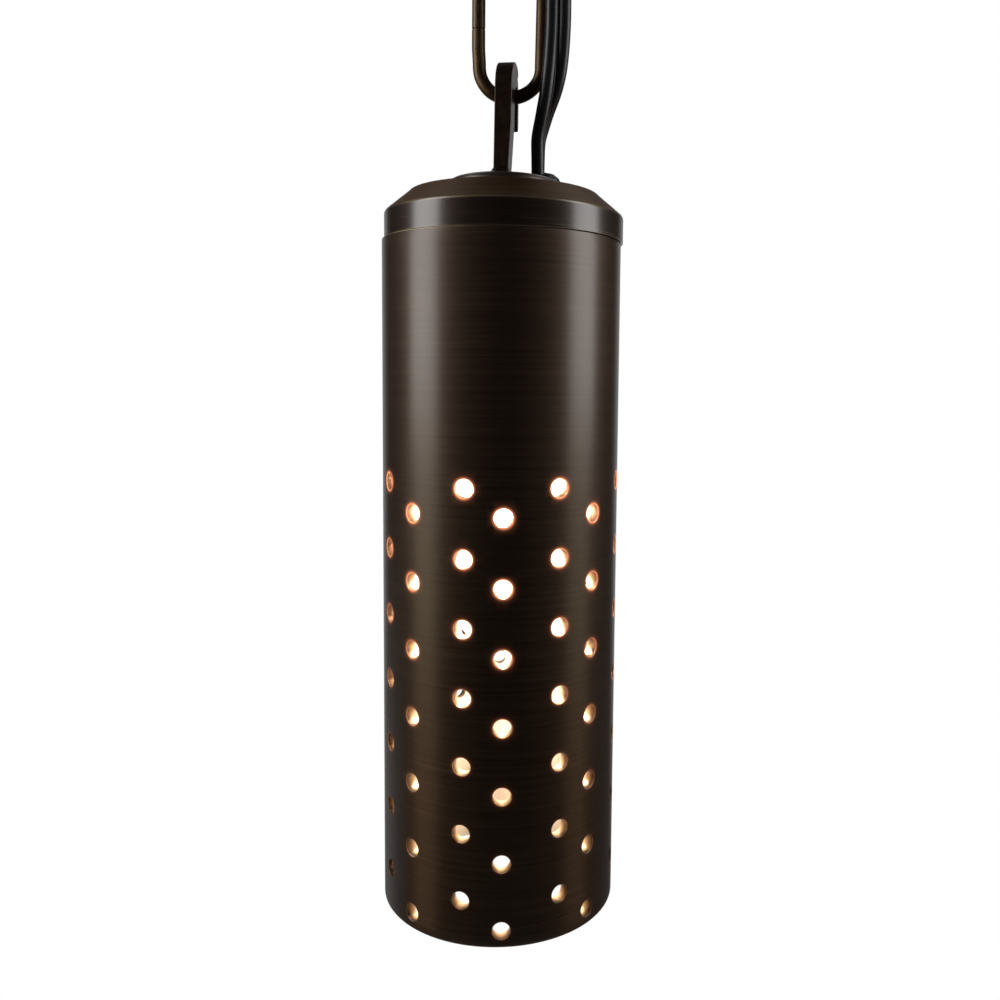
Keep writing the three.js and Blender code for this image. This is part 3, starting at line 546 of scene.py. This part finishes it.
class Tube:
    """Points and faces of the drilled tube, placed by angle from the viewer's side, radius and height."""

    def __init__(self):
        self.verts, self.faces = [], []
        self.wear, self.glow, self.depth = [], [], []

    def put(self, angle, r, z, worn=0.0, glow=0.0):
        side = math.sin(math.radians(angle))
        lift = RIM_SKEW * max(0.0, -side) + RIM_CLOSE * min(1.0, max(0.0, (0.98 - side) / 0.25))
        lift *= min(1.0, max(0.0, (z - LIFT_FROM) / LIFT_OVER))
        self.verts.append(at(SHADE_X + r * side, -r * math.cos(math.radians(angle)), z + lift))
        # Painted highlight: the upper rim's wear is strongest on the left side, where the left soft box
        # catches the edge; partly a rubbed edge
        self.wear.append(worn * (0.15 + 0.85 * max(0.0, -side)) if z > LIFT_FROM + 1.0 else worn)
        self.glow.append(glow)
        self.depth.append((R_OUT - r) / (R_OUT - R_IN))
        return len(self.verts) - 1


def hole_outline(hole, grow, radius):
    """Points round a hole as (angle, height), where it meets a wall of some radius."""
    angle, z, r, _ = hole
    outline = []
    for n in range(HOLE_SIDES):
        phi = 2 * math.pi * n / HOLE_SIDES
        u, v = (r + grow) * math.cos(phi), (r + grow) * math.sin(phi)
        outline.append((angle + math.degrees(math.asin(u / radius)), z + v))
    return outline


def wall_grid(unroll, levels, holes):
    """Points of a wall's grid, and their numbers by column and level."""
    points, grid = [], {}
    for i, angle in enumerate(ANGLES):
        for k, z in enumerate(levels):
            inside = 0 < i < COLUMNS and 0 < k < LEVELS - 1
            near = inside and any(
                (unroll * (angle - ha)) ** 2 + (z - hz) ** 2 < (hr + EDGE + CLEAR) ** 2
                for ha, hz, hr, _ in holes
            )
            if not near:
                grid[(i, k)] = len(points)
                points.append((unroll * angle, z))
    return points, grid


def wall_rings(points, unroll, radius, low, high, holes, outward):
    """Adds rings round the holes; returns each hole's edge ring, the edges along them, and the glow."""
    rings, edges, lit = [], [], {}
    for hole in holes:
        for away, share in GLOW_RINGS:
            ring = []
            for angle, z in hole_outline(hole, EDGE + away, radius):
                if not low + 0.02 < z < high:
                    z = low + 0.02
                ring.append(len(points))
                lit[len(points)] = hole[3] * share if outward else 0.0
                points.append((unroll * angle, z))
            if away == 0.0:
                rings.append(ring)
                edges += [(ring[n], ring[(n + 1) % HOLE_SIDES]) for n in range(HOLE_SIDES)]
    return rings, edges, lit


def put_on_wall(tube, out, unroll, radius):
    """Puts the unrolled points on the tube, those at the seam only once; returns their numbers."""
    index, seam = {}, {}
    for n, p in enumerate(out):
        angle, z = p[0] / unroll, p[1]
        if abs(angle - ANGLES[-1]) < 1e-4:
            seam[n] = round(z, 3)
            continue
        index[n] = tube.put(angle, radius, z)
    on_seam = [n for n in index if abs(out[n][0] / unroll - SEAM) < 1e-4]
    left = {round(out[n][1], 3): index[n] for n in on_seam}
    for n, z in seam.items():
        index[n] = left[z]
    return index


def wall(tube, radius, low, high, holes, outward):
    """One wall of the tube, from low to high; returns its hole rings and its lower and upper rims."""
    unroll = radius * math.pi / 180.0
    points, grid = wall_grid(unroll, np.linspace(low, high, LEVELS), holes)
    rings, edges, lit = wall_rings(points, unroll, radius, low, high, holes, outward)
    out, _, tris, origin, _, _ = delaunay_2d_cdt([Vector(p) for p in points], edges, [], 0, 1e-5)
    new = {source: n for n, sources in enumerate(origin) for source in sources}
    index = put_on_wall(tube, out, unroll, radius)
    centres = np.array([(unroll * ha, hz) for ha, hz, _, _ in holes])
    sizes = np.array([hr + EDGE for _, _, hr, _ in holes])
    for tri in tris:
        middle = np.mean([out[n][:2] for n in tri], axis=0)
        if (np.linalg.norm(centres - middle, axis=1) < sizes * 0.985).any():
            continue
        corners = [index[n] for n in tri]
        if len(set(corners)) == 3:
            tube.faces.append(corners if outward else corners[::-1])
    for source, level in lit.items():
        tube.glow[index[new[source]]] = level
    hole_rings = [[index[new[n]] for n in ring] for ring in rings]
    rim_low = [index[new[grid[(i, 0)]]] for i in range(COLUMNS)]
    rim_high = [index[new[grid[(i, LEVELS - 1)]]] for i in range(COLUMNS)]
    return hole_rings, rim_low, rim_high


def hole_bore(tube, hole, outer_ring, inner_ring):
    """A hole's drilled wall, with its edges broken, from the outer to the inner wall of the tube."""
    steps = ((R_OUT - 0.05, 0.05, 0.5), (R_OUT - EDGE, 0.0, 0.15), (R_IN + EDGE, 0.0, 0.0))
    rings = [outer_ring]
    for radius, grow, worn in steps:
        outline = hole_outline(hole, grow, radius)
        rings.append([tube.put(angle, radius, z, worn, hole[3]) for angle, z in outline])
    rings.append(inner_ring)
    for a, b in zip(rings, rings[1:]):
        for n in range(HOLE_SIDES):
            m = (n + 1) % HOLE_SIDES
            tube.faces.append((a[m], a[n], b[n], b[m]))


def tube_rim(tube, end, sign, rim_out, rim_in, steps):
    """The tube's lower (sign 1) or upper (sign -1) end, from the outer to the inner wall."""
    rows = [rim_out]
    for radius, height, worn in steps:
        rows.append([tube.put(angle, radius, end + sign * height, worn) for angle in ANGLES[:-1]])
    rows.append(rim_in)
    for a, b in zip(rows, rows[1:]):
        for i in range(COLUMNS):
            j = (i + 1) % COLUMNS
            face = (a[i], b[i], b[j], a[j])
            tube.faces.append(face if sign > 0 else face[::-1])


def shade_piece():
    """The tube, with its own material on the inner wall and on the holes' walls."""
    holes = drilled_holes()
    tube = Tube()
    outer, out_low, out_high = wall(tube, R_OUT, *OUTER_WALL, holes, True)
    inner, in_low, in_high = wall(tube, R_IN, *INNER_WALL, holes, False)
    for hole, outer_ring, inner_ring in zip(holes, outer, inner):
        hole_bore(tube, hole, outer_ring, inner_ring)
    tube_rim(tube, 0.0, 1, out_low, in_low, LOW_RIM)
    tube_rim(tube, LENGTH, -1, out_high, in_high, HIGH_RIM)
    obj = link_mesh(
        "shade_drilled", tube.verts, tube.faces, shade_bronze,
        wear=tube.wear, glow=tube.glow, depth=tube.depth, sharp=28.0,
    )
    obj.data.materials.append(shade_lining)
    obj.data.materials.append(hole_bronze)
    for polygon in obj.data.polygons:
        x, y, z = polygon.center / MM
        depth = R_OUT - math.hypot(x - SHADE_X, y)
        if 0.3 < z + TOP < LENGTH - 0.3 and depth > 0.3:
            polygon.material_index = 1 if depth > R_OUT - R_IN - 0.12 else 2
    return obj


place(shade_piece(), "shade_tube", ["shade"])


# Cap, turned, with worn edges
CAP_TILT = 0.0104
BAND_R, BAND_LOW, BAND_HIGH = 31.8, 178.3, 184.8
SPIGOT_R, SPIGOT_LOW = 27.75, 166.0
CHAMBER_R, CHAMBER_TOP = 22.0, 186.0
CONE_R, CONE_TOP = 25.6, 190.9
BOSS_R = 15.2


def cap_skew(point):
    """The cap sits a little askew: its left side is higher, its lower edge stays at the right."""
    x, y, z = point
    height = z / MM + TOP
    reach = math.hypot(x / MM - CAP_X, y / MM)
    outside = height > BAND_LOW - 0.1 and (height > CHAMBER_TOP + 0.5 or reach > CHAMBER_R + 0.5)
    lift = -CAP_TILT * (x / MM - CAP_X) if outside else 0.0
    if height < BAND_LOW + 0.7:
        lift = max(0.0, lift)
    return (x, y, z + lift * MM)


def cap_piece():
    profile = [(0.0, CHAMBER_TOP), (CHAMBER_R - 0.3, CHAMBER_TOP), (CHAMBER_R, CHAMBER_TOP - 0.3)]
    profile += [(CHAMBER_R, SPIGOT_LOW + 0.3), (CHAMBER_R + 0.3, SPIGOT_LOW)]
    profile += [(SPIGOT_R - 0.4, SPIGOT_LOW), (SPIGOT_R, SPIGOT_LOW + 0.4), (SPIGOT_R, BAND_LOW)]
    profile += [(31.25, BAND_LOW)] + arc(31.65, 178.45, 0.15, -90, 0, 4) + [(BAND_R, 178.65)]
    profile += arc(BAND_R - 1.2, 184.69, 1.2, 0, 48, 8) + [(CONE_R, 190.45)]
    profile += arc(24.95, 190.3, 0.6, 48, 90, 3) + [(24.0, CONE_TOP), (BOSS_R + 0.6, CONE_TOP)]
    profile += [(BOSS_R + 0.15, 191.0), (BOSS_R, 191.3), (BOSS_R, 192.5)]
    profile += arc(BOSS_R - 2.0, BOSS_TOP - 2.0, 2.0, 0, 90, 8) + [(12.4, BOSS_TOP), (0.0, BOSS_TOP)]
    wear = []
    for r, z in profile:
        worn = 0.0
        if r > 31.2 and z < BAND_LOW + 0.2:
            worn = 0.3
        if r > 31.2 and z > BAND_HIGH - 0.2:
            worn = 0.6 * max(0.0, 1.0 - abs(z - 185.3) / 0.6)
        if 24.5 < r < 25.7 and z > 190.4:
            worn = 0.15
        wear.append(worn)
    verts, faces, worn = lathe(profile, 160, CAP_X, 0.0, wear)
    obj = link_mesh("cap_turned", [cap_skew(v) for v in verts], faces, cap_bronze, wear=worn, sharp=32.0)
    obj.data.materials.append(cone_painted_light_bronze)
    obj.data.materials.append(boss_bronze)
    for polygon in obj.data.polygons:
        z = polygon.center.z / MM + TOP
        reach = math.hypot(polygon.center.x / MM - CAP_X, polygon.center.y / MM)
        # Faces turned up on the cone take the lighter copy: painted light from above
        if polygon.normal.z > 0.3 and z > 185.6 and reach > BOSS_R + 0.2:
            polygon.material_index = 1
        elif z > 190.5 and reach < BOSS_R + 0.4:
            polygon.material_index = 2
    return obj


place(cap_piece(), "pendant", ["cap"])


# Hook: a flat bar, its near leg deeper than the far one, turned a little about the vertical
HOOK_X, TURN = -0.6, math.radians(9)
along = np.array((math.sin(TURN), math.cos(TURN), 0.0))
across = np.array((math.cos(TURN), -math.sin(TURN), 0.0))
GAP_R, NEAR_DEPTH, FAR_DEPTH, HOOK_THICK = 2.7, 6.2, 3.4, 4.4
FRONT, BACK = -GAP_R - NEAR_DEPTH, GAP_R + FAR_DEPTH
HOOK_FOOT, GAP_TOP, CROWN_Z, WAIST_TOP = 195.0, 216.5, 217.4, 208.0
STUD_R, STUD_LOW, STUD_Y = 3.0, 177.6, -5.8
# Made by hand: it leans over its height, and its right side is cut in towards the foot and, on the
# crown's far side, over the first millimetres above a height
HOOK_LEAN, HOOK_HEIGHT = 0.4, 30.0
HOOK_WAIST, WAIST_OVER = 0.6, 9.0
CROWN_WAIST, CROWN_FROM, CROWN_OVER = 0.32, 211.0, 4.0


def hook_outline():
    """Outline as (depth, height), counterclockwise from the near leg's foot."""
    outer_r, middle = (BACK - FRONT) / 2, (BACK + FRONT) / 2
    points = [(FRONT, HOOK_FOOT), (-GAP_R, HOOK_FOOT), (-GAP_R, WAIST_TOP)]
    points += arc(0.0, GAP_TOP, GAP_R, 180, 0, 20)
    tip = ((0.1, 209.9), (0.45, 208.95), (1.0, 208.55), (1.55, 208.95), (2.1, 210.0), (2.9, 213.1))
    points += [(GAP_R + depth, z) for depth, z in tip]
    points += arc(middle, CROWN_Z, outer_r, 0, 180, 28)
    return points + [(FRONT, WAIST_TOP)]


def hook_bar():
    outline = hook_outline()
    verts = []
    for side in (-0.5, 0.5):
        for s, z in outline:
            waist = 0.0
            if side > 0:
                waist = HOOK_WAIST * max(0.0, min(1.0, (WAIST_TOP - z) / WAIST_OVER))
            if side > 0 and s > GAP_R:
                waist += CROWN_WAIST * max(0.0, min(1.0, (z - CROWN_FROM) / CROWN_OVER))
            p = np.array((HOOK_X + HOOK_LEAN * ((z - HOOK_FOOT) / HOOK_HEIGHT - 0.5), 0.0, 0.0))
            p += along * s + across * (side * HOOK_THICK - waist)
            verts.append(at(p[0], p[1], z))
    n = len(outline)
    faces = [tuple(range(n))[::-1], tuple(n + i for i in range(n))]
    faces += [(i, (i + 1) % n, n + (i + 1) % n, n + i) for i in range(n)]
    obj = link_mesh("hook_bar", verts, faces, part_bronze, wear=[0.0] * len(verts), sharp=30.0)
    bevel = obj.modifiers.new("edges", "BEVEL")
    bevel.width = 0.22 * MM
    bevel.segments = 3
    bevel.limit_method = "ANGLE"
    bevel.angle_limit = math.radians(50)
    return obj


def hook_foot():
    """The stud down through the cap, and the fillet round the bar's foot."""
    foot_at = np.array((HOOK_X - HOOK_LEAN / 2, 0.0, 0.0)) + along * STUD_Y
    shell = Shell()
    profile = [(0.0, STUD_LOW), (STUD_R - 0.4, STUD_LOW), (STUD_R, STUD_LOW + 0.4), (STUD_R, 194.9)]
    profile += [(STUD_R + 0.1, 194.95), (0.0, 195.1)]
    shell.add(*lathe(profile, 40, foot_at[0], foot_at[1]))
    rows = [(1.1, 194.72), (0.98, 195.2), (0.87, 195.7), (0.79, 196.2), (0.72, 196.6), (0.645, 197.1)]
    long_r, short_r, power, count = 4.75, 3.42, 0.35, 44
    verts, faces = [], []
    for scale, z in rows:
        for i in range(count):
            a = 2 * math.pi * i / count
            c, s = math.cos(a), math.sin(a)
            waist = HOOK_WAIST if s > 0 else 0.0
            u = long_r * scale * math.copysign(abs(c) ** power, c)
            q = (short_r * scale - waist) * math.copysign(abs(s) ** power, s)
            p = foot_at + along * u + across * q
            verts.append(at(p[0], p[1], z))
    for k in range(len(rows) - 1):
        a, b = k * count, (k + 1) * count
        for i in range(count):
            j = (i + 1) % count
            faces.append((a + i, b + i, b + j, a + j))
    faces.append(tuple(range(count)))
    faces.append(tuple((len(rows) - 1) * count + i for i in reversed(range(count))))
    shell.add(verts, faces)
    return link_mesh("hook_foot", shell.verts, shell.faces, part_bronze, wear=shell.wear, sharp=40.0)


place(hook_bar(), "pendant", ["hook"])
foot = hook_foot()
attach(foot, "pendant")


# Chain link, with the butt joint of its wire in the left leg, bent by hand: its left leg leans in,
# its lower bow is lowest at the left and a little pinched where it meets the legs
LINK_BOW, LINK_LOW, LINK_HIGH, LINK_WIRE = 8.5, 216.57, 251.07, 1.75
LINK_LEAN, LINK_SAG, LINK_PINCH = 0.1, 0.28, 0.30
LINK_SIDES, LINK_STEPS = 28, 48
# The butt joint, from its middle: height and how much the wire is cut back there
JOINT = ((0.55, 0.0), (0.16, 0.03), (0.03, 0.22), (-0.03, 0.22), (-0.16, 0.03), (-0.55, 0.0))
# Heights between which the link is rubbed, on the hook and on the eye
RUBBED = ((217.5, 220.5), (247.2, 248.0))


def link_route():
    """Points of the link's centre line with their outward direction and the wire's radius."""
    rows = []

    def bow(centre_z, first):
        for i in range(LINK_STEPS + 1):
            a = first + math.pi * i / LINK_STEPS
            out = (math.cos(a), 0.0, math.sin(a))
            rows.append(((LINK_BOW * out[0], 0.0, centre_z + LINK_BOW * out[2]), out, LINK_WIRE))

    middle = (LINK_LOW + LINK_HIGH) / 2
    leg = [(240.0, LINK_WIRE)] + [(middle + z, LINK_WIRE - cut) for z, cut in JOINT] + [(229.0, LINK_WIRE)]
    bow(LINK_HIGH - LINK_BOW, 0.0)
    rows += [((-LINK_BOW, 0.0, z), (-1.0, 0.0, 0.0), radius) for z, radius in leg]
    bow(LINK_LOW + LINK_BOW, math.pi)
    return rows


def link_piece():
    legs_from = LINK_LOW + LINK_BOW
    rows = link_route()
    verts = []
    for p, outward, radius in rows:
        lean = LINK_LEAN * max(0.0, min(1.0, (p[2] - legs_from) / 12.0)) if p[0] < 0 else 0.0
        pinch = LINK_PINCH * math.exp(-(((p[2] - legs_from) / 2.8) ** 2))
        sag = LINK_SAG * math.exp(-(((p[0] + 5.0) / 3.0) ** 2)) if p[2] < legs_from else 0.0
        for i in range(LINK_SIDES):
            a = 2 * math.pi * i / LINK_SIDES
            x = p[0] + (lean + pinch) * -p[0] / LINK_BOW + radius * math.cos(a) * outward[0]
            verts.append(at(x, radius * math.sin(a), p[2] - sag + radius * math.cos(a) * outward[2]))
    faces = []
    for k in range(len(rows)):
        a, b = k * LINK_SIDES, ((k + 1) % len(rows)) * LINK_SIDES
        for i in range(LINK_SIDES):
            j = (i + 1) % LINK_SIDES
            faces.append((a + i, a + j, b + j, b + i))
    wear = []
    for _, _, z in verts:
        height = z / MM + TOP
        rubbed = any(low < height < high for low, high in RUBBED)
        wear.append(0.55 if rubbed else 0.12)
    return link_mesh("chain_link_wire", verts, faces, chain_bronze, wear=wear, sharp=50.0)


place(link_piece(), "link", ["chain_link"])


# Ceiling eye: a ring on a stem, with a collar under the plate
EYE_R, EYE_WIRE, EYE_Z = 8.0, 2.0, 255.02
STEM_R, COLLAR_R, COLLAR_Z = 2.2, 5.0, 281.9


def ring_mesh(turns, sides):
    """The eye's ring, edge-on to the viewer."""
    verts, faces = [], []
    for k in range(turns):
        a = 2 * math.pi * k / turns
        for i in range(sides):
            b = 2 * math.pi * i / sides
            r = EYE_R + EYE_WIRE * math.cos(b)
            verts.append(at(EYE_WIRE * math.sin(b), r * math.cos(a), EYE_Z + r * math.sin(a)))
            j, m = (i + 1) % sides, (k + 1) % turns
            faces.append((k * sides + i, m * sides + i, m * sides + j, k * sides + j))
    return verts, faces


def ceiling_eye():
    shell = Shell()
    shell.add(*ring_mesh(72, 24))
    profile = [(0.0, 262.6), (3.0, 262.6), (2.7, 264.0), (2.35, 265.6), (STEM_R, 267.0), (STEM_R, 280.6)]
    profile += [(2.35, 281.5), (2.6, COLLAR_Z), (COLLAR_R - 0.4, COLLAR_Z), (COLLAR_R, COLLAR_Z + 0.4)]
    profile += [(COLLAR_R, 283.4), (COLLAR_R - 0.2, 283.7), (3.0, 283.7), (3.0, 288.1)]
    profile += [(2.7, 288.4), (0.0, 288.4)]
    shell.add(*lathe(profile, 40))
    return link_mesh("ceiling_eye_ring", shell.verts, shell.faces, part_bronze, wear=shell.wear, sharp=40.0)


place(ceiling_eye(), "ceiling", ["ceiling_eye"])


# Sealant round the cord, with an uneven skin
SEAL_X, SEAL_Y, SEAL_Z = 9.5, 0.6, 194.4
SEAL_RX, SEAL_RY, SEAL_RZ = 4.0, 5.2, 2.9


def sealant(rows, columns):
    verts, faces = [], []
    for k in range(rows + 1):
        e = -math.pi / 2 + math.pi * k / rows
        for i in range(columns):
            a = 2 * math.pi * i / columns
            d = Vector((math.cos(e) * math.cos(a), math.cos(e) * math.sin(a), math.sin(e)))
            grow = 1.0 + 0.05 * noise.noise(d * 2.6 + Vector((3.1, 0.4, 1.7))) + 0.02 * noise.noise(d * 7.0)
            reach = (SEAL_RX * grow * d.x, SEAL_RY * grow * d.y, SEAL_RZ * grow * d.z)
            verts.append(at(SEAL_X + reach[0], SEAL_Y + reach[1], SEAL_Z + reach[2]))
    for k in range(rows):
        a, b = k * columns, (k + 1) * columns
        for i in range(columns):
            j = (i + 1) % columns
            faces.append((a + i, a + j, b + j, b + i))
    return link_mesh("cord_sealant", verts, faces, rubber, sharp=80.0)


place(sealant(30, 48), "pendant", ["cord_seal"])


# Lamp: glass capsule and coil
BULB_R, BULB_WALL, BULB_END, BULB_TOP = 4.75, 0.7, 98.75, 119.9
COIL_TURNS, COIL_STEPS, COIL_LENGTH, COIL_R, COIL_Z = 8, 14, 4.4, 0.78, 103.5


def lamp_capsule():
    inner = BULB_R - BULB_WALL
    profile = arc(0.0, BULB_END, BULB_R, -90, 0, 12) + [(BULB_R, BULB_TOP - 0.5), (BULB_R - 0.15, BULB_TOP)]
    profile += [(inner, BULB_TOP)] + arc(0.0, BULB_END, inner, 0, -90, 12)
    profile[0], profile[-1] = (0.0, profile[0][1]), (0.0, profile[-1][1])
    verts, faces, _ = lathe(profile, 48, CAP_X, 0.0)
    return link_mesh("lamp_capsule", verts, faces, glow_glass, sharp=60.0)


def lamp_coil():
    """The coil lies across the capsule, on two wires from the base."""
    shell = Shell()
    steps = COIL_TURNS * COIL_STEPS
    points, frames = [], []
    for k in range(steps + 1):
        a = 2 * math.pi * k / COIL_STEPS
        radial = np.array((0.0, math.cos(a), math.sin(a)))
        x = CAP_X - COIL_LENGTH / 2 + COIL_LENGTH * k / steps
        points.append(np.array((x, 0.0, COIL_Z)) + COIL_R * radial)
        around_step = COIL_R * 2 * math.pi / COIL_STEPS
        t = np.array((COIL_LENGTH / steps, -around_step * math.sin(a), around_step * math.cos(a)))
        frames.append((radial, np.cross(t / np.linalg.norm(t), radial)))
    verts, faces = sweep(points, frames, circle(0.12, 8))
    shell.add([at(*q) for q in verts], faces)
    for side in (-1, 1):
        x = CAP_X + side * COIL_LENGTH / 2
        route = [(x, 0.0, COIL_Z + 0.4), (x, 0.0, BULB_TOP - 0.2)]
        verts, faces = sweep(route, [((1, 0, 0), (0, 1, 0))] * 2, circle(0.3, 10))
        shell.add([at(*q) for q in verts], faces)
    return link_mesh("lamp_coil", shell.verts, shell.faces, glow_wire, sharp=60.0)


place(lamp_capsule(), "lamp", ["lamp_bulb"])
place(lamp_coil(), "lamp", ["lamp_filament"])


# CAD pieces that stay, shaded smooth except at their edges
def smooth_by_angle(degrees):
    """A modifier's node group: it joins the loaded faces and keeps edges sharp past an angle."""
    group = bpy.data.node_groups.new("smooth_by_angle", "GeometryNodeTree")
    for way in ("INPUT", "OUTPUT"):
        group.interface.new_socket("Geometry", in_out=way, socket_type="NodeSocketGeometry")
    start = group.nodes.new("NodeGroupInput")
    end = group.nodes.new("NodeGroupOutput")
    joined = group.nodes.new("GeometryNodeMergeByDistance")
    joined.inputs["Distance"].default_value = 0.001 * MM
    unset = group.nodes.new("GeometryNodeRemoveAttribute")
    unset.inputs["Name"].default_value = "custom_normal"
    all_smooth = group.nodes.new("GeometryNodeSetShadeSmooth")
    all_smooth.domain = "FACE"
    keep_sharp = group.nodes.new("GeometryNodeSetShadeSmooth")
    keep_sharp.domain = "EDGE"
    keep_sharp.inputs["Shade Smooth"].default_value = False
    angle = group.nodes.new("GeometryNodeInputMeshEdgeAngle")
    compare = group.nodes.new("FunctionNodeCompare")
    compare.data_type = "FLOAT"
    compare.operation = "GREATER_THAN"
    compare.inputs[1].default_value = math.radians(degrees)
    chain = (start, joined, unset, all_smooth, keep_sharp, end)
    for a, b in zip(chain, chain[1:]):
        group.links.new(a.outputs[0], b.inputs[0])
    group.links.new(angle.outputs["Unsigned Angle"], compare.inputs[0])
    group.links.new(compare.outputs[0], keep_sharp.inputs["Selection"])
    return group


kept = {
    plate_bronze: ["ceiling_plate"],
    part_bronze: ["ceiling_screw_left", "ceiling_screw_right"],
    rubber: ["ceiling_grommet"],
    cord_black: ["cord_entry"],
    steel: [
        "hook_washer", "hook_nut", "grub_screw_left", "grub_screw_right", "socket_strap", "strap_screw",
        "socket_screw_front", "socket_screw_back", "lamp_pin_left", "lamp_pin_right",
    ],
    ceramic: ["lamp_socket", "lamp_base"],
    wire_black: [
        "cord_core_front", "cord_core_back", "splice_front", "splice_back",
        "lead_wire_front", "lead_wire_back",
    ],
}
smooth = smooth_by_angle(36)
for material, names in kept.items():
    for name in names:
        obj = nodes[name]
        obj.data.materials.clear()
        obj.data.materials.append(material)
        modifier = obj.modifiers.new("smooth", "NODES")
        modifier.node_group = smooth


# Studio: white background, soft boxes at both sides, pale floor far below
scene = bpy.context.scene
scene.view_settings.view_transform = "Standard"


def background(tree, color):
    made = node(tree, "ShaderNodeBackground")
    made.inputs["Color"].default_value = (*color, 1.0)
    return made


def mix_shader(tree, fac, a, b):
    made = node(tree, "ShaderNodeMixShader")
    for slot, value in ((0, fac), (1, a), (2, b)):
        tree.links.new(value, made.inputs[slot])
    return made.outputs[0]


def studio_world():
    """White to the camera, grey to diffuse rays, dark to mirror rays but paler behind and beneath."""
    world = bpy.data.worlds.new("studio")
    scene.world = world
    world.use_nodes = True
    tree = world.node_tree
    tree.nodes.clear()
    out = node(tree, "ShaderNodeOutputWorld")
    room = background(tree, (0.031, 0.023, 0.020))
    white = background(tree, (1.0, 1.0, 1.0))
    around = background(tree, (0.12, 0.12, 0.12))
    ray = node(tree, "ShaderNodeLightPath")
    coordinates = node(tree, "ShaderNodeTexCoord")
    axis = node(tree, "ShaderNodeSeparateXYZ")
    tree.links.new(coordinates.outputs["Generated"], axis.inputs[0])
    tree.links.new(map_range(tree, axis.outputs["Z"], -0.10, -0.45, 1.0, 0.3), room.inputs["Strength"])
    behind = map_range(tree, axis.outputs["Y"], 0.78, 0.90, 0.0, 0.45)
    below = map_range(tree, axis.outputs["Z"], -0.15, -0.40, 0.0, 0.17)
    to_back = map_range(tree, axis.outputs["Y"], 0.15, 0.6, 0.0, 1.0)
    to_left = map_range(tree, axis.outputs["X"], -0.4, 0.6, 1.0, 0.25)
    beneath = math_node(tree, "MULTIPLY", math_node(tree, "MULTIPLY", below, to_back), to_left)
    glossy, refracted = ray.outputs["Is Glossy Ray"], ray.outputs["Is Transmission Ray"]
    mirrored = math_node(tree, "MAXIMUM", glossy, refracted)
    seen = math_node(tree, "MULTIPLY", mirrored, math_node(tree, "MAXIMUM", behind, beneath))
    seen = math_node(tree, "MAXIMUM", seen, ray.outputs["Is Camera Ray"])
    surface = mix_shader(tree, seen, room.outputs[0], white.outputs[0])
    surface = mix_shader(tree, ray.outputs["Is Diffuse Ray"], surface, around.outputs[0])
    tree.links.new(surface, out.inputs[0])


studio_world()


# Distance of the lights from the upright through the origin, in metres
LIGHT_AWAY = 1.2


def area_light(name, centre, facing, width, height, radiance, color=(1.0, 1.0, 1.0)):
    light = bpy.data.lights.new(name, "AREA")
    light.shape = "RECTANGLE"
    light.size = width
    light.size_y = height
    light.energy = radiance * math.pi * width * height
    light.color = color
    obj = bpy.data.objects.new(name, light)
    scene.collection.objects.link(obj)
    obj.location = centre
    obj.rotation_mode = "QUATERNION"
    obj.rotation_quaternion = facing.to_track_quat("Z", "Y")
    return obj


def soft_box(name, azimuth, width, low, high, radiance, color=(1.0, 1.0, 1.0)):
    """Upright soft box beside the lamp; azimuth in degrees from the viewer's side towards +X."""
    a = math.radians(azimuth)
    out_from = Vector((math.sin(a), -math.cos(a), 0.0))
    middle = out_from * LIGHT_AWAY + Vector((0.0, 0.0, (low + high) / 2))
    return area_light(name, middle, out_from, width, high - low, radiance, color)


# Side boxes in three heights, warmer and weaker towards the floor, as shares of one radiance each
BOX_LIGHT, LOW_LIGHT, FLOOR_LIGHT, RIM_LIGHT = 4.3, 1.15, 0.60, 1.6
for side, azimuth, top_share, share in (("left", -77.0, 1.0, 0.95), ("right", 82.0, 0.86, 0.62)):
    soft_box(f"box_{side}", azimuth, 0.64, -0.21, 1.2, BOX_LIGHT * top_share)
    inward = azimuth - math.copysign(2.5, azimuth)
    soft_box(f"low_{side}", inward, 0.54, -0.60, -0.21, LOW_LIGHT * share, (1.0, 0.87, 0.54))
    soft_box(f"floor_{side}", inward, 0.54, -1.10, -0.60, FLOOR_LIGHT * share, (1.0, 0.59, 0.32))
# Two small boxes behind and above, for the cone's and the boss's highlights
for side, azimuth, elevation in (("left", -152.0, 51.0), ("right", 153.0, 47.0)):
    a, e = math.radians(azimuth), math.radians(elevation)
    out_from = Vector((math.sin(a) * math.cos(e), -math.cos(a) * math.cos(e), math.sin(e)))
    centre = out_from * LIGHT_AWAY + Vector((0.0, 0.0, -0.1))
    area_light(f"rim_{side}", centre, out_from, 0.3, 0.3, RIM_LIGHT)


def pale_floor(radius, z):
    bpy.ops.mesh.primitive_circle_add(vertices=96, radius=radius, fill_type="NGON", location=(0, 0, z))
    obj = bpy.context.object
    obj.name = "floor"
    material, tree, shader = new_material("floor_pale")
    grain = scaled_noise(tree, (6.0, 6.0, 6.0))
    tone = ramp(tree, grain, [(0.3, (0.84, 0.84, 0.83)), (0.7, (0.87, 0.87, 0.86))])
    tree.links.new(tone, shader.inputs["Base Color"])
    shader.inputs["Roughness"].default_value = 0.8
    shader.inputs["Emission Color"].default_value = (1.0, 1.0, 1.0, 1.0)
    seen = node(tree, "ShaderNodeLightPath").outputs["Is Camera Ray"]
    tree.links.new(math_node(tree, "MULTIPLY", seen, 0.6), shader.inputs["Emission Strength"])
    obj.data.materials.append(material)
    return obj


floor = pale_floor(1.0, -1.25)
